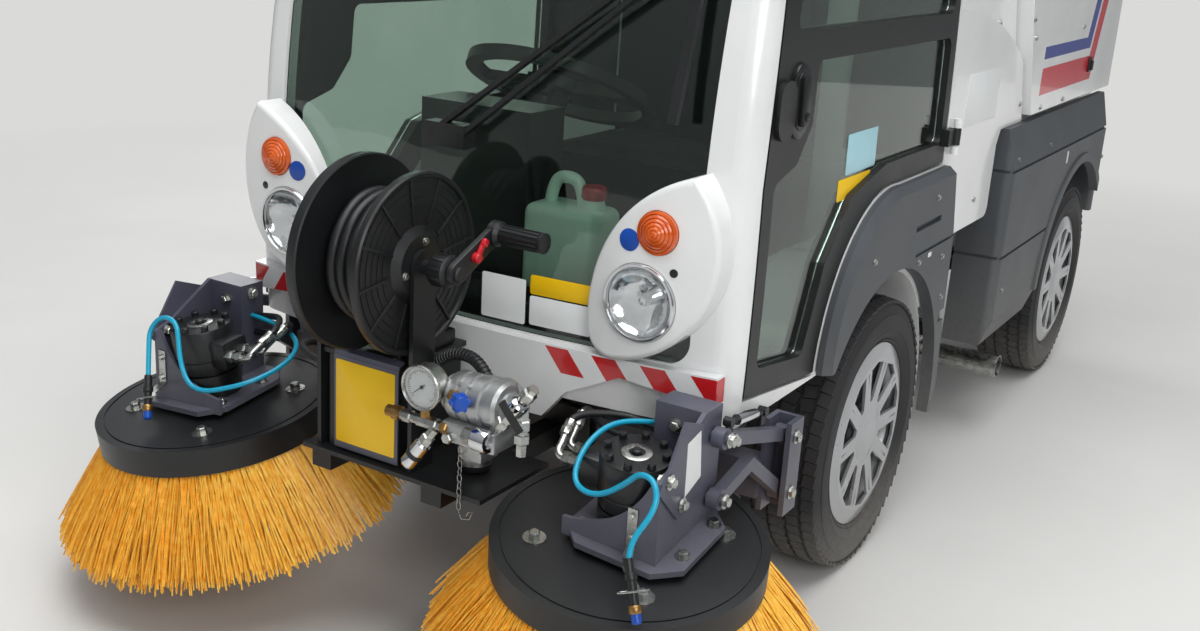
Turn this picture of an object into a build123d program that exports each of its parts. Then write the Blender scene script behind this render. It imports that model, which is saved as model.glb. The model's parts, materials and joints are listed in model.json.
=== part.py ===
"""A compact street sweeper: a narrow cab over the front axle, two front side brushes on lifting
arms, a front water pump with a hose reel, a tipping debris hopper and steered rear wheels.
Millimetres. +Z is up, -Y is forward, +X is the vehicle's left. The origin is on the ground,
at the middle of the whole length and width."""

from build123d import *
import math
import os

os.makedirs("parts", exist_ok=True)

# Driving dimensions
wheelbase = 1600.0
tyre_radius = 290.0
tyre_width = 175.0
rim_radius = 177.7  # bead seat of a 14 inch wheel
wheel_spokes = 10
wheel_face = 550.0  # outer side of the tyres, from the centre line
rear_overhang = 380.0  # from the rear axle to the tail
roof_height = 1905.0
panel_gap = 6.0  # round doors and between panels
seat_gap = 0.3  # between pieces that rest on each other
running_gap = 0.05  # between a shaft and its hole, on the radius
axle_height = tyre_radius

# Cab
cab_bottom = 500.0
cab_rear = 330.0  # behind the front axle
cab_wall = 30.0
front_bulge = 50.0  # the front bows out by this much from its corners
cab_corner = 45.0
cab_sections = (  # height, front face ahead of the front axle, half width
    (440.0, 715.0, 524.0),
    (900.0, 715.0, 528.0),
    (1200.0, 676.0, 520.0),
    (1550.0, 578.0, 502.0),
    (1850.0, 445.0, 474.0),
)
shell_top = 1830.0
windscreen_half = 452.0
windscreen_bottom = 602.0
windscreen_top = 1785.0
glass_thickness = 6.0
glass_inset = 6.0
door_thickness = 40.0
door_rear = 300.0
door_top = 1795.0
window_frame = 34.0
fender_inner = 529.6  # just clear of the cab's side
fender_depth = 27.0
fender_bevel = 15.0
fender_arch = 355.0
door_to_fender = 9.0
wheelhouse_radius = 345.0
hinge_x = 545.0
hinge_behind = 318.0
hinge_heights = (880.0, 1500.0)

# Front brushes, given for the left side
brush_x = 460.0
brush_ahead = 855.0
brush_disc_height = 362.0
brush_disc_radius = 222.0
brush_tip_radius = 340.0
brush_lean_forward = 8.0
brush_lean_out = 5.0
brush_length = 225.0  # along the axis, from the disc to the bristle tips, held up to park
bristle_root_radius = 212.0
bristle_depth = 26.0
disc_thickness = 12.0
disc_rim_depth = 38.0
disc_groove = 206.0  # radius of the groove round the top
motor_radius = 55.0
shaft_radius = 12.0

# Brush arms: two links of one length between the chassis and the brush carrier
link_length = 255.0
link_rise = 16.0  # degrees above level, towards the front
link_spread = 104.0  # height between the lower and the upper link
link_rear_ahead = 520.0
link_rear_height = 359.0
link_x = 560.0
link_thickness = 20.0
link_half_width = 11.0
eye_radius = 17.0
arm_pin_radius = 9.0
fork_gap = 6.0
fork_plate = 10.0
web_plate = 8.0
front_web = 917.0
post_inner = 455.0  # the carrier's box post, from the centre line
post_ahead = 792.0
post_depth = 57.0
post_top = 578.0
cheek_low = 505.0  # top of the carrier's outer plate at its front
lower_link_bend = 56.0  # the lower link's bend above its straight line

# Front pump and hose reel
reel_ahead = 905.0
reel_height = 745.0
reel_left = 58.0
reel_right = -95.0
reel_flange_radius = 165.0
reel_drum_radius = 60.0
reel_axle_radius = 10.0
crank_radius = 113.0
wound_radius = 118.0
pump_foot = 498.0
gauge_radius = 38.0
shelf_height = 385.0
shelf_plate = 8.0

# Chassis
rail_inner = 150.0
rail_outer = 210.0
rail_bottom = 330.0
rail_top = 430.0
rail_front_ahead = 560.0
stub_radius = 22.0
kingpin_x = 355.0
kingpin_radius = 12.0
steering_arm = 120.0
tie_rod_height = 300.0
tie_rod_pin = 8.0
spring_x = 180.0
spring_drop = 60.0  # of the leaves between their ends and the axle
spring_depth = 25.0

# Rear body
tow_behind = 1960.0
tow_height = 400.0
tow_bore = 12.5
tow_plate = 24.0
skirt_half = 560.0
skirt_wall = 20.0
skirt_top = 840.0
skirt_bottom = 278.0
skirt_front = 800.0  # behind the front axle
skirt_rear = 1880.0
skirt_wrap = 440.0  # how far in the front wall reaches
skirt_bevel = 24.0
skirt_lean = 24.0
skirt_groove = 4.0  # half the width of the grooves
skirt_belts = (345.0, 513.0, 735.0)  # heights of the bevel's line, the belt and the lip
arch_radius = 368.0
exhaust_behind = 955.0
exhaust_height = 185.0
exhaust_end = 560.0
cover_half = 520.0
cover_front = 338.0
hood_half = 500.0
hood_top = 1290.0
slant_gap = 10.0  # between the engine cover and the hopper
cover_bottom = 630.0
hopper_half = 540.0
hopper_front = 964.0  # at the foot of its sides
hopper_slant = 0.448  # forward for each millimetre up
hopper_upright = 1400.0  # height where the slant ends
hopper_rear = 1900.0
hopper_top = 1800.0
hopper_wall = 28.0
hopper_low = 668.0
hopper_side_low = 860.0
hopper_lower_half = 493.0
hopper_lower_front = 955.0
duct_behind = 1055.0  # where the suction duct meets the hopper's floor
tip_behind = 1925.0
tip_height = 840.0
hatch_half = 520.0
hatch_bottom = 905.0
hatch_top = 1774.0
hatch_hinge_height = 1805.0

def slant_at(height):
    """How far behind the front axle the hopper's slanted front is at a height."""
    return hopper_front + (hopper_side_low - height) * hopper_slant


# The brush axis leans forward and outward, which sets how far ahead the bristle tips reach
lean_f = math.radians(brush_lean_forward)
lean_o = math.radians(brush_lean_out)
brush_axis = Vector(math.sin(lean_o), -math.sin(lean_f), 1.0).normalized()
tip_centre_ahead = brush_ahead + brush_length * brush_axis.Y
tips_ahead = tip_centre_ahead + brush_tip_radius * math.sqrt(1 - brush_axis.Y**2)
front_axle = tips_ahead - (tips_ahead + wheelbase + rear_overhang) / 2
rear_axle = front_axle + wheelbase
wheel_x = wheel_face - tyre_width / 2
brush_centre = Vector(brush_x, front_axle - brush_ahead, brush_disc_height)
brush_plane = Plane(origin=brush_centre, x_dir=(1, 0, 0), z_dir=brush_axis)

# Pins of the brush arms, as (Y, Z)
rise = math.radians(link_rise)
lower_rear = (front_axle - link_rear_ahead, link_rear_height)
lower_front = (
    lower_rear[0] - link_length * math.cos(rise),
    lower_rear[1] + link_length * math.sin(rise),
)
upper_rear = (lower_rear[0], lower_rear[1] + link_spread)
upper_front = (lower_front[0], lower_front[1] + link_spread)


def save(shape, name):
    """Writes one named piece."""
    shape.label = name
    export_step(shape, f"parts/{name}.step")


def left_right(shape, name):
    """Writes the left piece and its mirror image as two nodes."""
    save(shape, f"{name}_left")
    save(mirror(shape, about=Plane.YZ), f"{name}_right")


def both_sides(shape):
    """The left piece and its mirror image as one compound."""
    return Compound(children=[*shape.solids(), *mirror(shape, about=Plane.YZ).solids()])


def block(x0, x1, y0, y1, z0, z1, mode=Mode.ADD):
    """A box between two corners, in the current part; Y is counted from the front axle."""
    with Locations(((x0 + x1) / 2, front_axle + (y0 + y1) / 2, (z0 + z1) / 2)):
        Box(x1 - x0, y1 - y0, z1 - z0, mode=mode)


def side(behind, height):
    """A point of a side view outline, counted from the front axle."""
    return (front_axle + behind, height)


def bar(x0, x1, behind, height, radius, mode=Mode.ADD):
    """A round bar across the vehicle, in the current part."""
    with BuildSketch(Plane.YZ.offset(x0)) as end:
        with Locations((front_axle + behind, height)):
            Circle(radius)
    extrude(end.sketch, amount=x1 - x0, mode=mode)


def post(x, behind, z0, z1, radius, mode=Mode.ADD):
    """A round upright, in the current part."""
    with BuildSketch(Plane.XY.offset(z0)) as end:
        with Locations((x, front_axle + behind)):
            Circle(radius)
    extrude(end.sketch, amount=z1 - z0, mode=mode)


def cab_form(inset):
    """The cab's outer form taken in by an inset, a loft through plan sections."""
    with BuildPart() as form:
        for height, ahead, half in cab_sections:
            y_front = front_axle - ahead + inset
            y_rear = front_axle + cab_rear - inset
            half_in = half - inset
            y_corner = y_front + front_bulge
            with BuildSketch(Plane.XY.offset(height)):
                with BuildLine():
                    ThreePointArc((-half_in, y_corner), (0, y_front), (half_in, y_corner))
                    Line((half_in, y_corner), (half_in, y_rear))
                    Line((half_in, y_rear), (-half_in, y_rear))
                    Line((-half_in, y_rear), (-half_in, y_corner))
                make_face()
        loft()
        posts = [e for e in form.edges() if e.bounding_box().size.Z > 1000]
        fillet([e for e in posts if e.center().Y < front_axle - 400], cab_corner)
    return form.part


cab_outer = cab_form(0)

with BuildSketch(Plane.YZ) as fender_outline:
    with BuildLine():
        ThreePointArc(side(-312, 505), side(-212, 735), side(30, 815))
        Line(side(30, 815), side(320, 815))
        Line(side(320, 815), side(366, 650))
        Line(side(366, 650), side(372, 480))
        Line(side(372, 480), side(392, 300))
        Line(side(392, 300), side(370, 235))
        Line(side(370, 235), side(300, 235))
        Line(side(300, 235), side(0, axle_height))
        Line(side(0, axle_height), side(-200, 505))
        Line(side(-200, 505), side(-312, 505))
    make_face()

with BuildSketch(Plane.YZ) as door_outline:
    with BuildLine():
        Polyline(
            side(-622, 548),
            side(-330, 512),
            side(-200, 512),
            side(100, 700),
            side(door_rear, 780),
            side(door_rear, door_top),
            side(-375, door_top),
            side(-487, 1550),
            side(-586, 1200),
            side(-622, 900),
            close=True,
        )
    make_face()
    offset(fender_outline.sketch_local, amount=door_to_fender, mode=Mode.SUBTRACT)
    fillet(door_outline.vertices().group_by(Axis.Y)[-1], 45)

# Windows of the door: the upper sliding panes and the lower pane that follows the wheel arch
with BuildSketch(Plane.YZ) as upper_window:
    with BuildLine():
        Polyline(
            side(-540, 1140),
            side(door_rear - window_frame, 1140),
            side(door_rear - window_frame, door_top - 50),
            side(-362, door_top - 50),
            side(-462, 1520),
            close=True,
        )
    make_face()
    fillet(upper_window.vertices(), 22)

with BuildSketch(Plane.YZ) as lower_window:
    with BuildLine():
        Polyline(
            side(-585, 590),
            side(-392, 562),
            side(-330, 720),
            side(-225, 830),
            side(-60, 868),
            side(door_rear - window_frame, 868),
            side(door_rear - window_frame, 1090),
            side(-440, 1090),
            side(-448, 985),
            side(-500, 925),
            side(-585, 900),
            close=True,
        )
    make_face()
    fillet(lower_window.vertices(), 20)

with BuildSketch(Plane.XZ) as screen_outline:
    with Locations((0, (windscreen_bottom + windscreen_top) / 2)):
        RectangleRounded(2 * windscreen_half, windscreen_top - windscreen_bottom, 40)


def side_prism(sketch, grow=0.0, x_from=300.0, x_to=700.0):
    """A side view outline pushed out sideways on the left."""
    with BuildPart() as prism:
        with BuildSketch(Plane.YZ.offset(x_from)):
            add(sketch)
            if grow:
                offset(amount=grow)
        extrude(amount=x_to - x_from)
    return prism.part


def front_prism(sketch, grow=0.0, y_from=-300.0, length=600.0):
    """A front view outline pushed out forwards."""
    with BuildPart() as prism:
        with BuildSketch(Plane.XZ.offset(-(front_axle + y_from))):
            add(sketch)
            if grow:
                offset(amount=grow)
        extrude(amount=length)
    return prism.part


# Cab shell: posts, sills, floor, rear wall and wheel houses
rear_window_half = 330.0
rear_window_bottom = 1180.0
rear_window_top = 1700.0
with BuildPart() as cab_shell:
    add(cab_outer)
    add(cab_form(cab_wall), mode=Mode.SUBTRACT)
    block(-700, 700, -900, 900, shell_top, 2100, mode=Mode.SUBTRACT)
    block(-700, 700, -900, 900, 300, cab_bottom, mode=Mode.SUBTRACT)
    add(front_prism(screen_outline.sketch_local), mode=Mode.SUBTRACT)
    door_hole = side_prism(door_outline.sketch_local, grow=panel_gap)
    add(door_hole, mode=Mode.SUBTRACT)
    add(mirror(door_hole, about=Plane.YZ), mode=Mode.SUBTRACT)
    half_w = rear_window_half
    block(-half_w, half_w, 200, 400, rear_window_bottom, rear_window_top, mode=Mode.SUBTRACT)
    block(-480, 480, -650, -285, cab_bottom, cab_bottom + 25)
    block(-312, 312, -290, 302, cab_bottom, cab_bottom + 25)
    block(300, 312, -300, 302, cab_bottom, 640)
    block(-312, -300, -300, 302, cab_bottom, 640)
    for s in (1, -1):
        with Locations(Location((s * 455, front_axle, axle_height), (0, 90, 0))):
            Cylinder(wheelhouse_radius, 286, mode=Mode.SUBTRACT)

with BuildPart() as wheelhouse:
    with Locations(Location((412, front_axle, axle_height), (0, 90, 0))):
        Cylinder(wheelhouse_radius + 8, 220)
        Cylinder(wheelhouse_radius, 220, mode=Mode.SUBTRACT)
    block(200, 600, -500, 0, -100, 512, mode=Mode.SUBTRACT)
    block(200, 600, 0, 500, -100, 215, mode=Mode.SUBTRACT)

with BuildPart() as cab_body:
    add(cab_shell.part)
    add(wheelhouse.part)
    add(mirror(wheelhouse.part, about=Plane.YZ))
    for height in hinge_heights:
        for s in (1, -1):
            for low in (height - 38, height + 20):
                post(s * hinge_x, hinge_behind, low, low + 18, 10)
                inner, outer = sorted((s * (hinge_x - 45), s * hinge_x))
                block(inner, outer, hinge_behind - 8, hinge_behind + 10, low, low + 18)
            post(s * hinge_x, hinge_behind, height - 30, height + 30, 5)
save(cab_body.part, "cab_shell")

# Roof cap, hollow underneath
with BuildPart() as cab_roof:
    with BuildSketch(Plane.XY.offset(shell_top + seat_gap)):
        with BuildLine():
            y_front = front_axle - 478
            y_rear = front_axle + cab_rear
            ThreePointArc((-486, y_front + 40), (0, y_front), (486, y_front + 40))
            Line((486, y_front + 40), (486, y_rear))
            Line((486, y_rear), (-486, y_rear))
            Line((-486, y_rear), (-486, y_front + 40))
        make_face()
    extrude(amount=roof_height - shell_top - seat_gap)
    fillet(cab_roof.edges().filter_by(Axis.Z), 50)
    fillet(cab_roof.faces().sort_by(Axis.Z)[-1].edges(), 30)
    block(-440, 440, -420, 290, 1700, roof_height - 25, mode=Mode.SUBTRACT)
save(cab_roof.part, "cab_roof")

# Windscreen and rear window
with BuildPart() as windscreen:
    add(cab_form(glass_inset))
    add(cab_form(glass_inset + glass_thickness), mode=Mode.SUBTRACT)
    add(front_prism(screen_outline.sketch_local, grow=-seat_gap), mode=Mode.INTERSECT)
with BuildPart() as rear_window:
    half_w = rear_window_half - seat_gap
    low = rear_window_bottom + seat_gap
    block(-half_w, half_w, cab_rear - 16, cab_rear - 10, low, rear_window_top - seat_gap)
save(Compound(children=[windscreen.part, rear_window.part]), "cab_glass")

# Doors, hinged at their rear edge, and their panes
window_cut = side_prism(upper_window.sketch_local)
lower_cut = side_prism(lower_window.sketch_local)
with BuildPart() as door:
    add(cab_outer)
    add(cab_form(door_thickness), mode=Mode.SUBTRACT)
    add(side_prism(door_outline.sketch_local), mode=Mode.INTERSECT)
    add(window_cut, mode=Mode.SUBTRACT)
    add(lower_cut, mode=Mode.SUBTRACT)
    with BuildSketch(Plane.YZ.offset(515)):
        with Locations(side(-572, 1020)):
            RectangleRounded(62, 96, 28)
    extrude(amount=19)
    for height in hinge_heights:
        block(531, hinge_x, 270, hinge_behind, height - 17.5, height + 17.5)
        block(500, hinge_x, 270, 294, height - 17.5, height + 17.5)
        post(hinge_x, hinge_behind, height - 17.5, height + 17.5, 10)
        post(hinge_x, hinge_behind, height - 30, height + 30, 5 + running_gap, Mode.SUBTRACT)
left_right(door.part, "door")

with BuildPart() as panes:
    add(side_prism(upper_window.sketch_local, grow=-seat_gap))
    add(side_prism(lower_window.sketch_local, grow=-seat_gap))
with BuildPart() as door_glass:
    add(cab_form(14))
    add(cab_form(19), mode=Mode.SUBTRACT)
    add(panes.part, mode=Mode.INTERSECT)
left_right(door_glass.part, "door_glass")

# Front bumper band with its lower panel
with BuildSketch(Plane.XZ) as bumper_outline:
    with BuildLine():
        Polyline(
            (-512, 548),
            (-345, 568),
            (-245, 520),
            (-200, 466),
            (200, 466),
            (245, 520),
            (345, 568),
            (512, 548),
            (512, 600),
            (-512, 600),
            close=True,
        )
    make_face()
with BuildPart() as front_bumper:
    add(cab_form(-20))
    add(cab_form(-seat_gap), mode=Mode.SUBTRACT)
    add(front_prism(bumper_outline.sketch_local), mode=Mode.INTERSECT)
save(front_bumper.part, "front_bumper")

# Headlamp pods on the corners of the cab, with bores for the headlamp and the turn signal
pod_face = 741.0
pod_dome = 420.0  # radius of the bowed face
pod_dome_x = 390.0
headlamp_at = (382.0, 710.0)
headlamp_radius = 66.0
signal_at = (408.0, 830.0)
signal_radius = 36.0
with BuildSketch(Plane.XZ) as pod_outline:
    with BuildLine():
        ThreePointArc((340, 602), (500, 735), (462, 925))
        ThreePointArc((462, 925), (320, 820), (276, 655))
        ThreePointArc((276, 655), (296, 612), (340, 602))
    make_face()
with BuildPart() as pod:
    with BuildSketch(Plane.XZ.offset(-(front_axle - 560))):
        add(pod_outline.sketch_local)
    extrude(amount=pod_face - 560)
    add(cab_form(-seat_gap), mode=Mode.SUBTRACT)
    with Locations((pod_dome_x, front_axle - pod_face + pod_dome, 700)):
        Cylinder(pod_dome, 800, mode=Mode.INTERSECT)
    fillet(pod.faces().sort_by(Axis.Y)[0].edges(), 10)
    for at, radius, depth in ((headlamp_at, headlamp_radius, 34), (signal_at, signal_radius, 20)):
        with BuildSketch(Plane.XZ.offset(-(front_axle - pod_face + depth))):
            with Locations(at):
                Circle(radius + seat_gap)
        extrude(amount=200, mode=Mode.SUBTRACT)
save(both_sides(pod.part), "headlamp_pods")

with BuildPart() as headlamp:
    with BuildSketch(Plane.XZ.offset(-(front_axle - pod_face + 33))):
        with Locations(headlamp_at):
            Circle(headlamp_radius)
    extrude(amount=33)
    with BuildSketch(Plane.XZ.offset(-(front_axle - pod_face + 6))):
        with Locations(headlamp_at):
            Circle(headlamp_radius - 7)
    extrude(amount=40, mode=Mode.SUBTRACT)
save(both_sides(headlamp.part), "headlamps")

with BuildPart() as signal:
    with BuildSketch(Plane.XZ.offset(-(front_axle - pod_face + 19))):
        with Locations(signal_at):
            Circle(signal_radius)
    extrude(amount=31)
    fillet(signal.faces().sort_by(Axis.Y)[0].edges(), 10)
save(both_sides(signal.part), "turn_signals")

# Wheel arch mouldings on the outside of the cab, bevelled round the top and grooved at the rear
fender_grooves = (  # from, to behind the front axle, height, width, depth
    (95.0, 255.0, 714.0, 13.0, 9.0),
    (110.0, 420.0, 655.0, 7.0, 5.0),
    (335.0, 420.0, 470.0, 26.0, 8.0),
)
with BuildPart() as fender:
    with BuildSketch(Plane.YZ.offset(fender_inner)):
        add(fender_outline.sketch_local)
        with Locations(side(0, axle_height)):
            Circle(fender_arch, mode=Mode.SUBTRACT)
    extrude(amount=fender_depth)
    rim = fender.faces().sort_by(Axis.X)[-1].edges()
    chamfer([e for e in rim if e.center().Z > 600 and e.center().Z - e.center().Y > 900], fender_bevel)
    for start, stop, height, width, depth in fender_grooves:
        outer_face = fender_inner + fender_depth
        low, high = height - width / 2, height + width / 2
        block(outer_face - depth, outer_face + 5, start, stop, low, high, mode=Mode.SUBTRACT)
save(both_sides(fender.part), "front_fenders")

# Inside the cab
floor_top = cab_bottom + 25 + seat_gap
ledge_height = 655.0
steering_plane = Plane(
    origin=(-40, front_axle - 350, 960), x_dir=(1, 0, 0), z_dir=(0, math.sin(0.44), math.cos(0.44))
)
with BuildPart() as console:
    block(-170, 70, -610, -500, floor_top, 960)
    block(-400, 400, -650, -500, floor_top, ledge_height)
    block(-65, -15, -510, -395, 790, 840)
    with BuildSketch(steering_plane.offset(-seat_gap)):
        Circle(20)
    extrude(amount=-160)
save(console.part, "console")

with BuildPart() as seat:
    block(-240, 240, -130, 290, floor_top, 800)
    fillet(seat.edges().filter_by(Axis.Z), 30)
    block(-230, 230, 190, 290, 790, 1400)
save(seat.part, "seat")

with BuildPart() as steering_wheel:
    with BuildSketch(Plane.XY):
        Circle(190)
        Circle(165, mode=Mode.SUBTRACT)
        Rectangle(340, 34)
        Circle(45)
    extrude(amount=22)
save(steering_wheel.part.moved(Location(steering_plane)), "steering_wheel")

with BuildPart() as fluid_tank:
    block(82, 235, -648, -545, ledge_height + seat_gap, 850)
    fillet(fluid_tank.edges(), 18)
    post(160, -596, 845, 875, 20)
save(fluid_tank.part, "fluid_tank")

# Wipers: two parallel arms and an upright blade, following the windscreen's slope
with BuildPart() as wipers:
    block(-60, 25, -742, -709, 905, 945)
    for x_low, x_high in ((-48, 395), (12, 420)):
        with BuildSketch(Plane(origin=(x_low, front_axle - 735, 925), z_dir=(x_high - x_low, 62, 350))):
            Rectangle(8, 16)
        extrude(amount=math.hypot(x_high - x_low, 62, 350))
    with BuildSketch(Plane(origin=(412, front_axle - 728, 1000), z_dir=(0, 145, 520))):
        Rectangle(12, 16)
    extrude(amount=math.hypot(145, 520))
    block(384, 426, -680, -646, 1258, 1284)
save(wipers.part, "wipers")

# Mirrors on arms ahead of the doors
with BuildPart() as mirror_head:
    block(590, 740, -700, -668, 1260, 1560)
    fillet(mirror_head.edges(), 14)
    with BuildSketch(Plane(origin=(497, front_axle - 540, 1500), z_dir=(150, -140, 0))):
        Circle(10)
    extrude(amount=200)
save(both_sides(mirror_head.part), "mirrors")

with BuildPart() as beacon:
    post(0, -80, roof_height + seat_gap, roof_height + 22, 62)
    post(0, -80, roof_height + 20, roof_height + 85, 48)
    fillet(beacon.faces().sort_by(Axis.Z)[-1].edges(), 20)
save(beacon.part, "beacon")

outriggers = (  # start and end behind the front axle, reach from the centre line
    (425.0, 455.0, cover_half - 6),
    (1080.0, 1120.0, skirt_half - skirt_wall - seat_gap),
)
# Chassis frame: two rails, cross members, cab feet and the hopper's rear hinge brackets
with BuildPart() as chassis:
    for s in (1, -1):
        x0, x1 = sorted((s * rail_inner, s * rail_outer))
        block(x0, x1, -rail_front_ahead, 1915, rail_bottom, rail_top)
        block(x0, x1, -430, -370, rail_top, cab_bottom - seat_gap)
        block(x0, x1, 230, 290, rail_top, cab_bottom - seat_gap)
        for plate in (250, 320):
            x0, x1 = sorted((s * plate, s * (plate + 18)))
            with BuildSketch(Plane.YZ.offset(x0)):
                with BuildLine():
                    Polyline(
                        side(1890, rail_top + 10),
                        side(1915, rail_top + 10),
                        side(1948, tip_height),
                        side(1906, tip_height),
                        side(1905, 600),
                        side(1890, 520),
                        close=True,
                    )
                make_face()
                with Locations(side(tip_behind, tip_height)):
                    Circle(20)
            extrude(amount=x1 - x0)
        x0, x1 = sorted((s * 250, s * 338))
        bar(x0, x1, tip_behind, tip_height, 12)
        for start, stop, reach in outriggers:
            x0, x1 = sorted((s * (rail_outer - 5), s * reach))
            block(x0, x1, start, stop, 392, 424)
        x0, x1 = sorted((s * 498, s * (cover_half - 6)))
        block(x0, x1, 425, 455, 392, cover_bottom - seat_gap)
        x0, x1 = sorted((s * rail_inner, s * rail_outer))
        block(x0, x1, 1785, 1815, rail_top - 5, 655)
        block(x0, x1, 1885, 1915, rail_top - 5, 500)
        x0, x1 = sorted((s * rail_inner, s * (skirt_half - skirt_wall - seat_gap)))
        block(x0, x1, 1785, 1815, 628, 655)
    for behind in (-500, 350, 1090, 1300, 1855):
        block(-rail_inner - 5, rail_inner + 5, behind, behind + 50, rail_bottom + 15, rail_top - 15)
    block(-338, 338, 1890, 1915, rail_top + 10, 500)
save(chassis.part, "chassis_frame")

# Axles with leaf springs slung under them
def leaf_springs(axle_behind):
    for s in (1, -1):
        with BuildSketch(Plane.YZ.offset(s * spring_x - 22)) as leaf:
            with BuildLine():
                ends = (axle_behind - 270, axle_behind + 270)
                low = rail_bottom - seat_gap - spring_depth
                mid = low - spring_drop
                ThreePointArc(side(ends[0], low), side(axle_behind, mid), side(ends[1], low))
                Line(side(ends[1], low), side(ends[1], low + spring_depth))
                ThreePointArc(
                    side(ends[1], low + spring_depth),
                    side(axle_behind, mid + spring_depth),
                    side(ends[0], low + spring_depth),
                )
                Line(side(ends[0], low + spring_depth), side(ends[0], low))
            make_face()
        extrude(leaf.sketch, amount=44)


with BuildPart() as front_axle_beam:
    leaf_springs(0)
    block(-360, 360, -28, 28, axle_height - 28, axle_height + 28)
    for s in (1, -1):
        x0, x1 = sorted((s * 350, s * (wheel_x + 48)))
        bar(x0, x1, 0, axle_height, stub_radius)
save(front_axle_beam.part, "front_axle")

with BuildPart() as rear_axle_beam:
    leaf_springs(wheelbase)
    fork_x = kingpin_x - 62
    bar(-fork_x - 12, fork_x + 12, wheelbase, axle_height, 32)
    bar(-70, 70, wheelbase, axle_height, 70)
    for s in (1, -1):
        x0, x1 = sorted((s * fork_x, s * (fork_x + 22)))
        block(x0, x1, wheelbase - 22, wheelbase + 22, 218, 362)
        for low in (218, 338):
            x0, x1 = sorted((s * (fork_x + 2), s * kingpin_x))
            block(x0, x1, wheelbase - 20, wheelbase + 20, low, low + 24)
            post(s * kingpin_x, wheelbase, low, low + 24, 20)
        post(s * kingpin_x, wheelbase, 220, 360, kingpin_radius)
save(rear_axle_beam.part, "rear_axle")

arm_at = (kingpin_x, wheelbase + steering_arm)
with BuildPart() as knuckle:
    post(kingpin_x, wheelbase, 250, 330, 27)
    bar(kingpin_x, 421, wheelbase, axle_height, 30)
    bar(kingpin_x, wheel_x + 48, wheelbase, axle_height, stub_radius)
    with BuildSketch(Plane.XY.offset(272)):
        with BuildLine():
            Line((kingpin_x, front_axle + wheelbase), (arm_at[0], front_axle + arm_at[1]))
        trace(line_width=16)
    extrude(amount=14)
    post(arm_at[0], arm_at[1], 272, 286, 14)
    post(arm_at[0], arm_at[1], 280, 312, tie_rod_pin)
    post(kingpin_x, wheelbase, 240, 340, kingpin_radius + running_gap, Mode.SUBTRACT)
left_right(knuckle.part, "knuckle")

with BuildPart() as tie_rod:
    bar(-arm_at[0], arm_at[0], arm_at[1], tie_rod_height, 8)
    for s in (1, -1):
        post(s * arm_at[0], arm_at[1], 290, 310, 17)
        post(s * arm_at[0], arm_at[1], 280, 320, tie_rod_pin + running_gap, Mode.SUBTRACT)
save(tie_rod.part, "tie_rod")

# Tyre and wheel, turned about the X axis, with the outer side towards +X
with BuildPart() as tyre:
    with BuildSketch(Plane.XZ):
        with BuildLine():
            Polyline((50, 178), (62, 178), (62, 192), (78, 204))
            ThreePointArc((78, 204), (87.5, 235), (82, 264))
            ThreePointArc((82, 264), (76, 281), (60, tyre_radius - 3))
            ThreePointArc((60, tyre_radius - 3), (0, tyre_radius), (-60, tyre_radius - 3))
            ThreePointArc((-60, tyre_radius - 3), (-76, 281), (-82, 264))
            ThreePointArc((-82, 264), (-87.5, 235), (-78, 204))
            Polyline((-78, 204), (-62, 192), (-62, 178), (-50, 178), (-66, 215))
            Polyline((-66, 215), (-62, 268), (62, 268), (66, 215), (50, 178))
        make_face()
    revolve(axis=Axis.X)

with BuildPart() as wheel:
    with BuildSketch(Plane.XZ):
        with BuildLine():
            Polyline(
                (-35, 22 + running_gap),
                (-35, 62),
                (22, 62),
                (22, 150),
                (-55, 171),
                (-69, 171),
                (-69, 189),
                (-63, 189),
                (-63, rim_radius),
                (63, rim_radius),
                (63, 189),
                (69, 189),
                (69, 195),
                (74, 195),
                (82, 166),
                (76, 62),
                (83, 34),
                (84, 0),
                (78, 0),
                (77, 32),
                (50, 34),
                (50, 22 + running_gap),
                close=True,
            )
        make_face()
    revolve(axis=Axis.X)
    with BuildSketch(Plane.XZ):
        with BuildLine():
            Polyline((30, 60), (70, 62), (76, 164), (70, 185), (69, 171), (63, 171), (30, 150), close=True)
        make_face()
    revolve(axis=Axis.X, mode=Mode.SUBTRACT)
    with BuildSketch(Plane.YZ.offset(56)):
        with PolarLocations(0, wheel_spokes, start_angle=180 / wheel_spokes):
            Polygon((72, -5), (152, -33), (160, 0), (150, 33), (72, 7), align=None)
    extrude(amount=40, mode=Mode.SUBTRACT)
    with BuildSketch(Plane.YZ.offset(79)):
        with PolarLocations(106, wheel_spokes):
            SlotOverall(96, 5)
    extrude(amount=10, mode=Mode.SUBTRACT)

corners = (  # name, side, behind the front axle
    ("front_left", 1, 0.0),
    ("front_right", -1, 0.0),
    ("rear_left", 1, wheelbase),
    ("rear_right", -1, wheelbase),
)
for corner, s, behind in corners:
    place = Location((s * wheel_x, front_axle + behind, axle_height))
    for shape, name in ((tyre.part, "tyre"), (wheel.part, "wheel")):
        turned = shape if s > 0 else mirror(shape, about=Plane.YZ)
        save(turned.moved(place), f"{name}_{corner}")

# Brush arm mounts on the rails, ahead of the front wheels
fork_in = link_x - link_thickness / 2 - fork_gap - fork_plate
fork_out = link_x + link_thickness / 2 + fork_gap
with BuildPart() as brush_mount:
    mount_rear = 30 - link_rear_ahead
    block(rail_outer + seat_gap, fork_in + 4, mount_rear - 68, mount_rear - 20, 346, 414)
    for x0 in (fork_in, fork_out):
        block(x0, x0 + fork_plate, mount_rear - 52, mount_rear, 320, 492)
    block(fork_in, fork_out + fork_plate, mount_rear - 10, mount_rear, 320, 492)
    for pin in (lower_rear, upper_rear):
        bar(fork_in, fork_out + fork_plate, pin[0] - front_axle, pin[1], arm_pin_radius)
save(both_sides(brush_mount.part), "brush_mounts")


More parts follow.
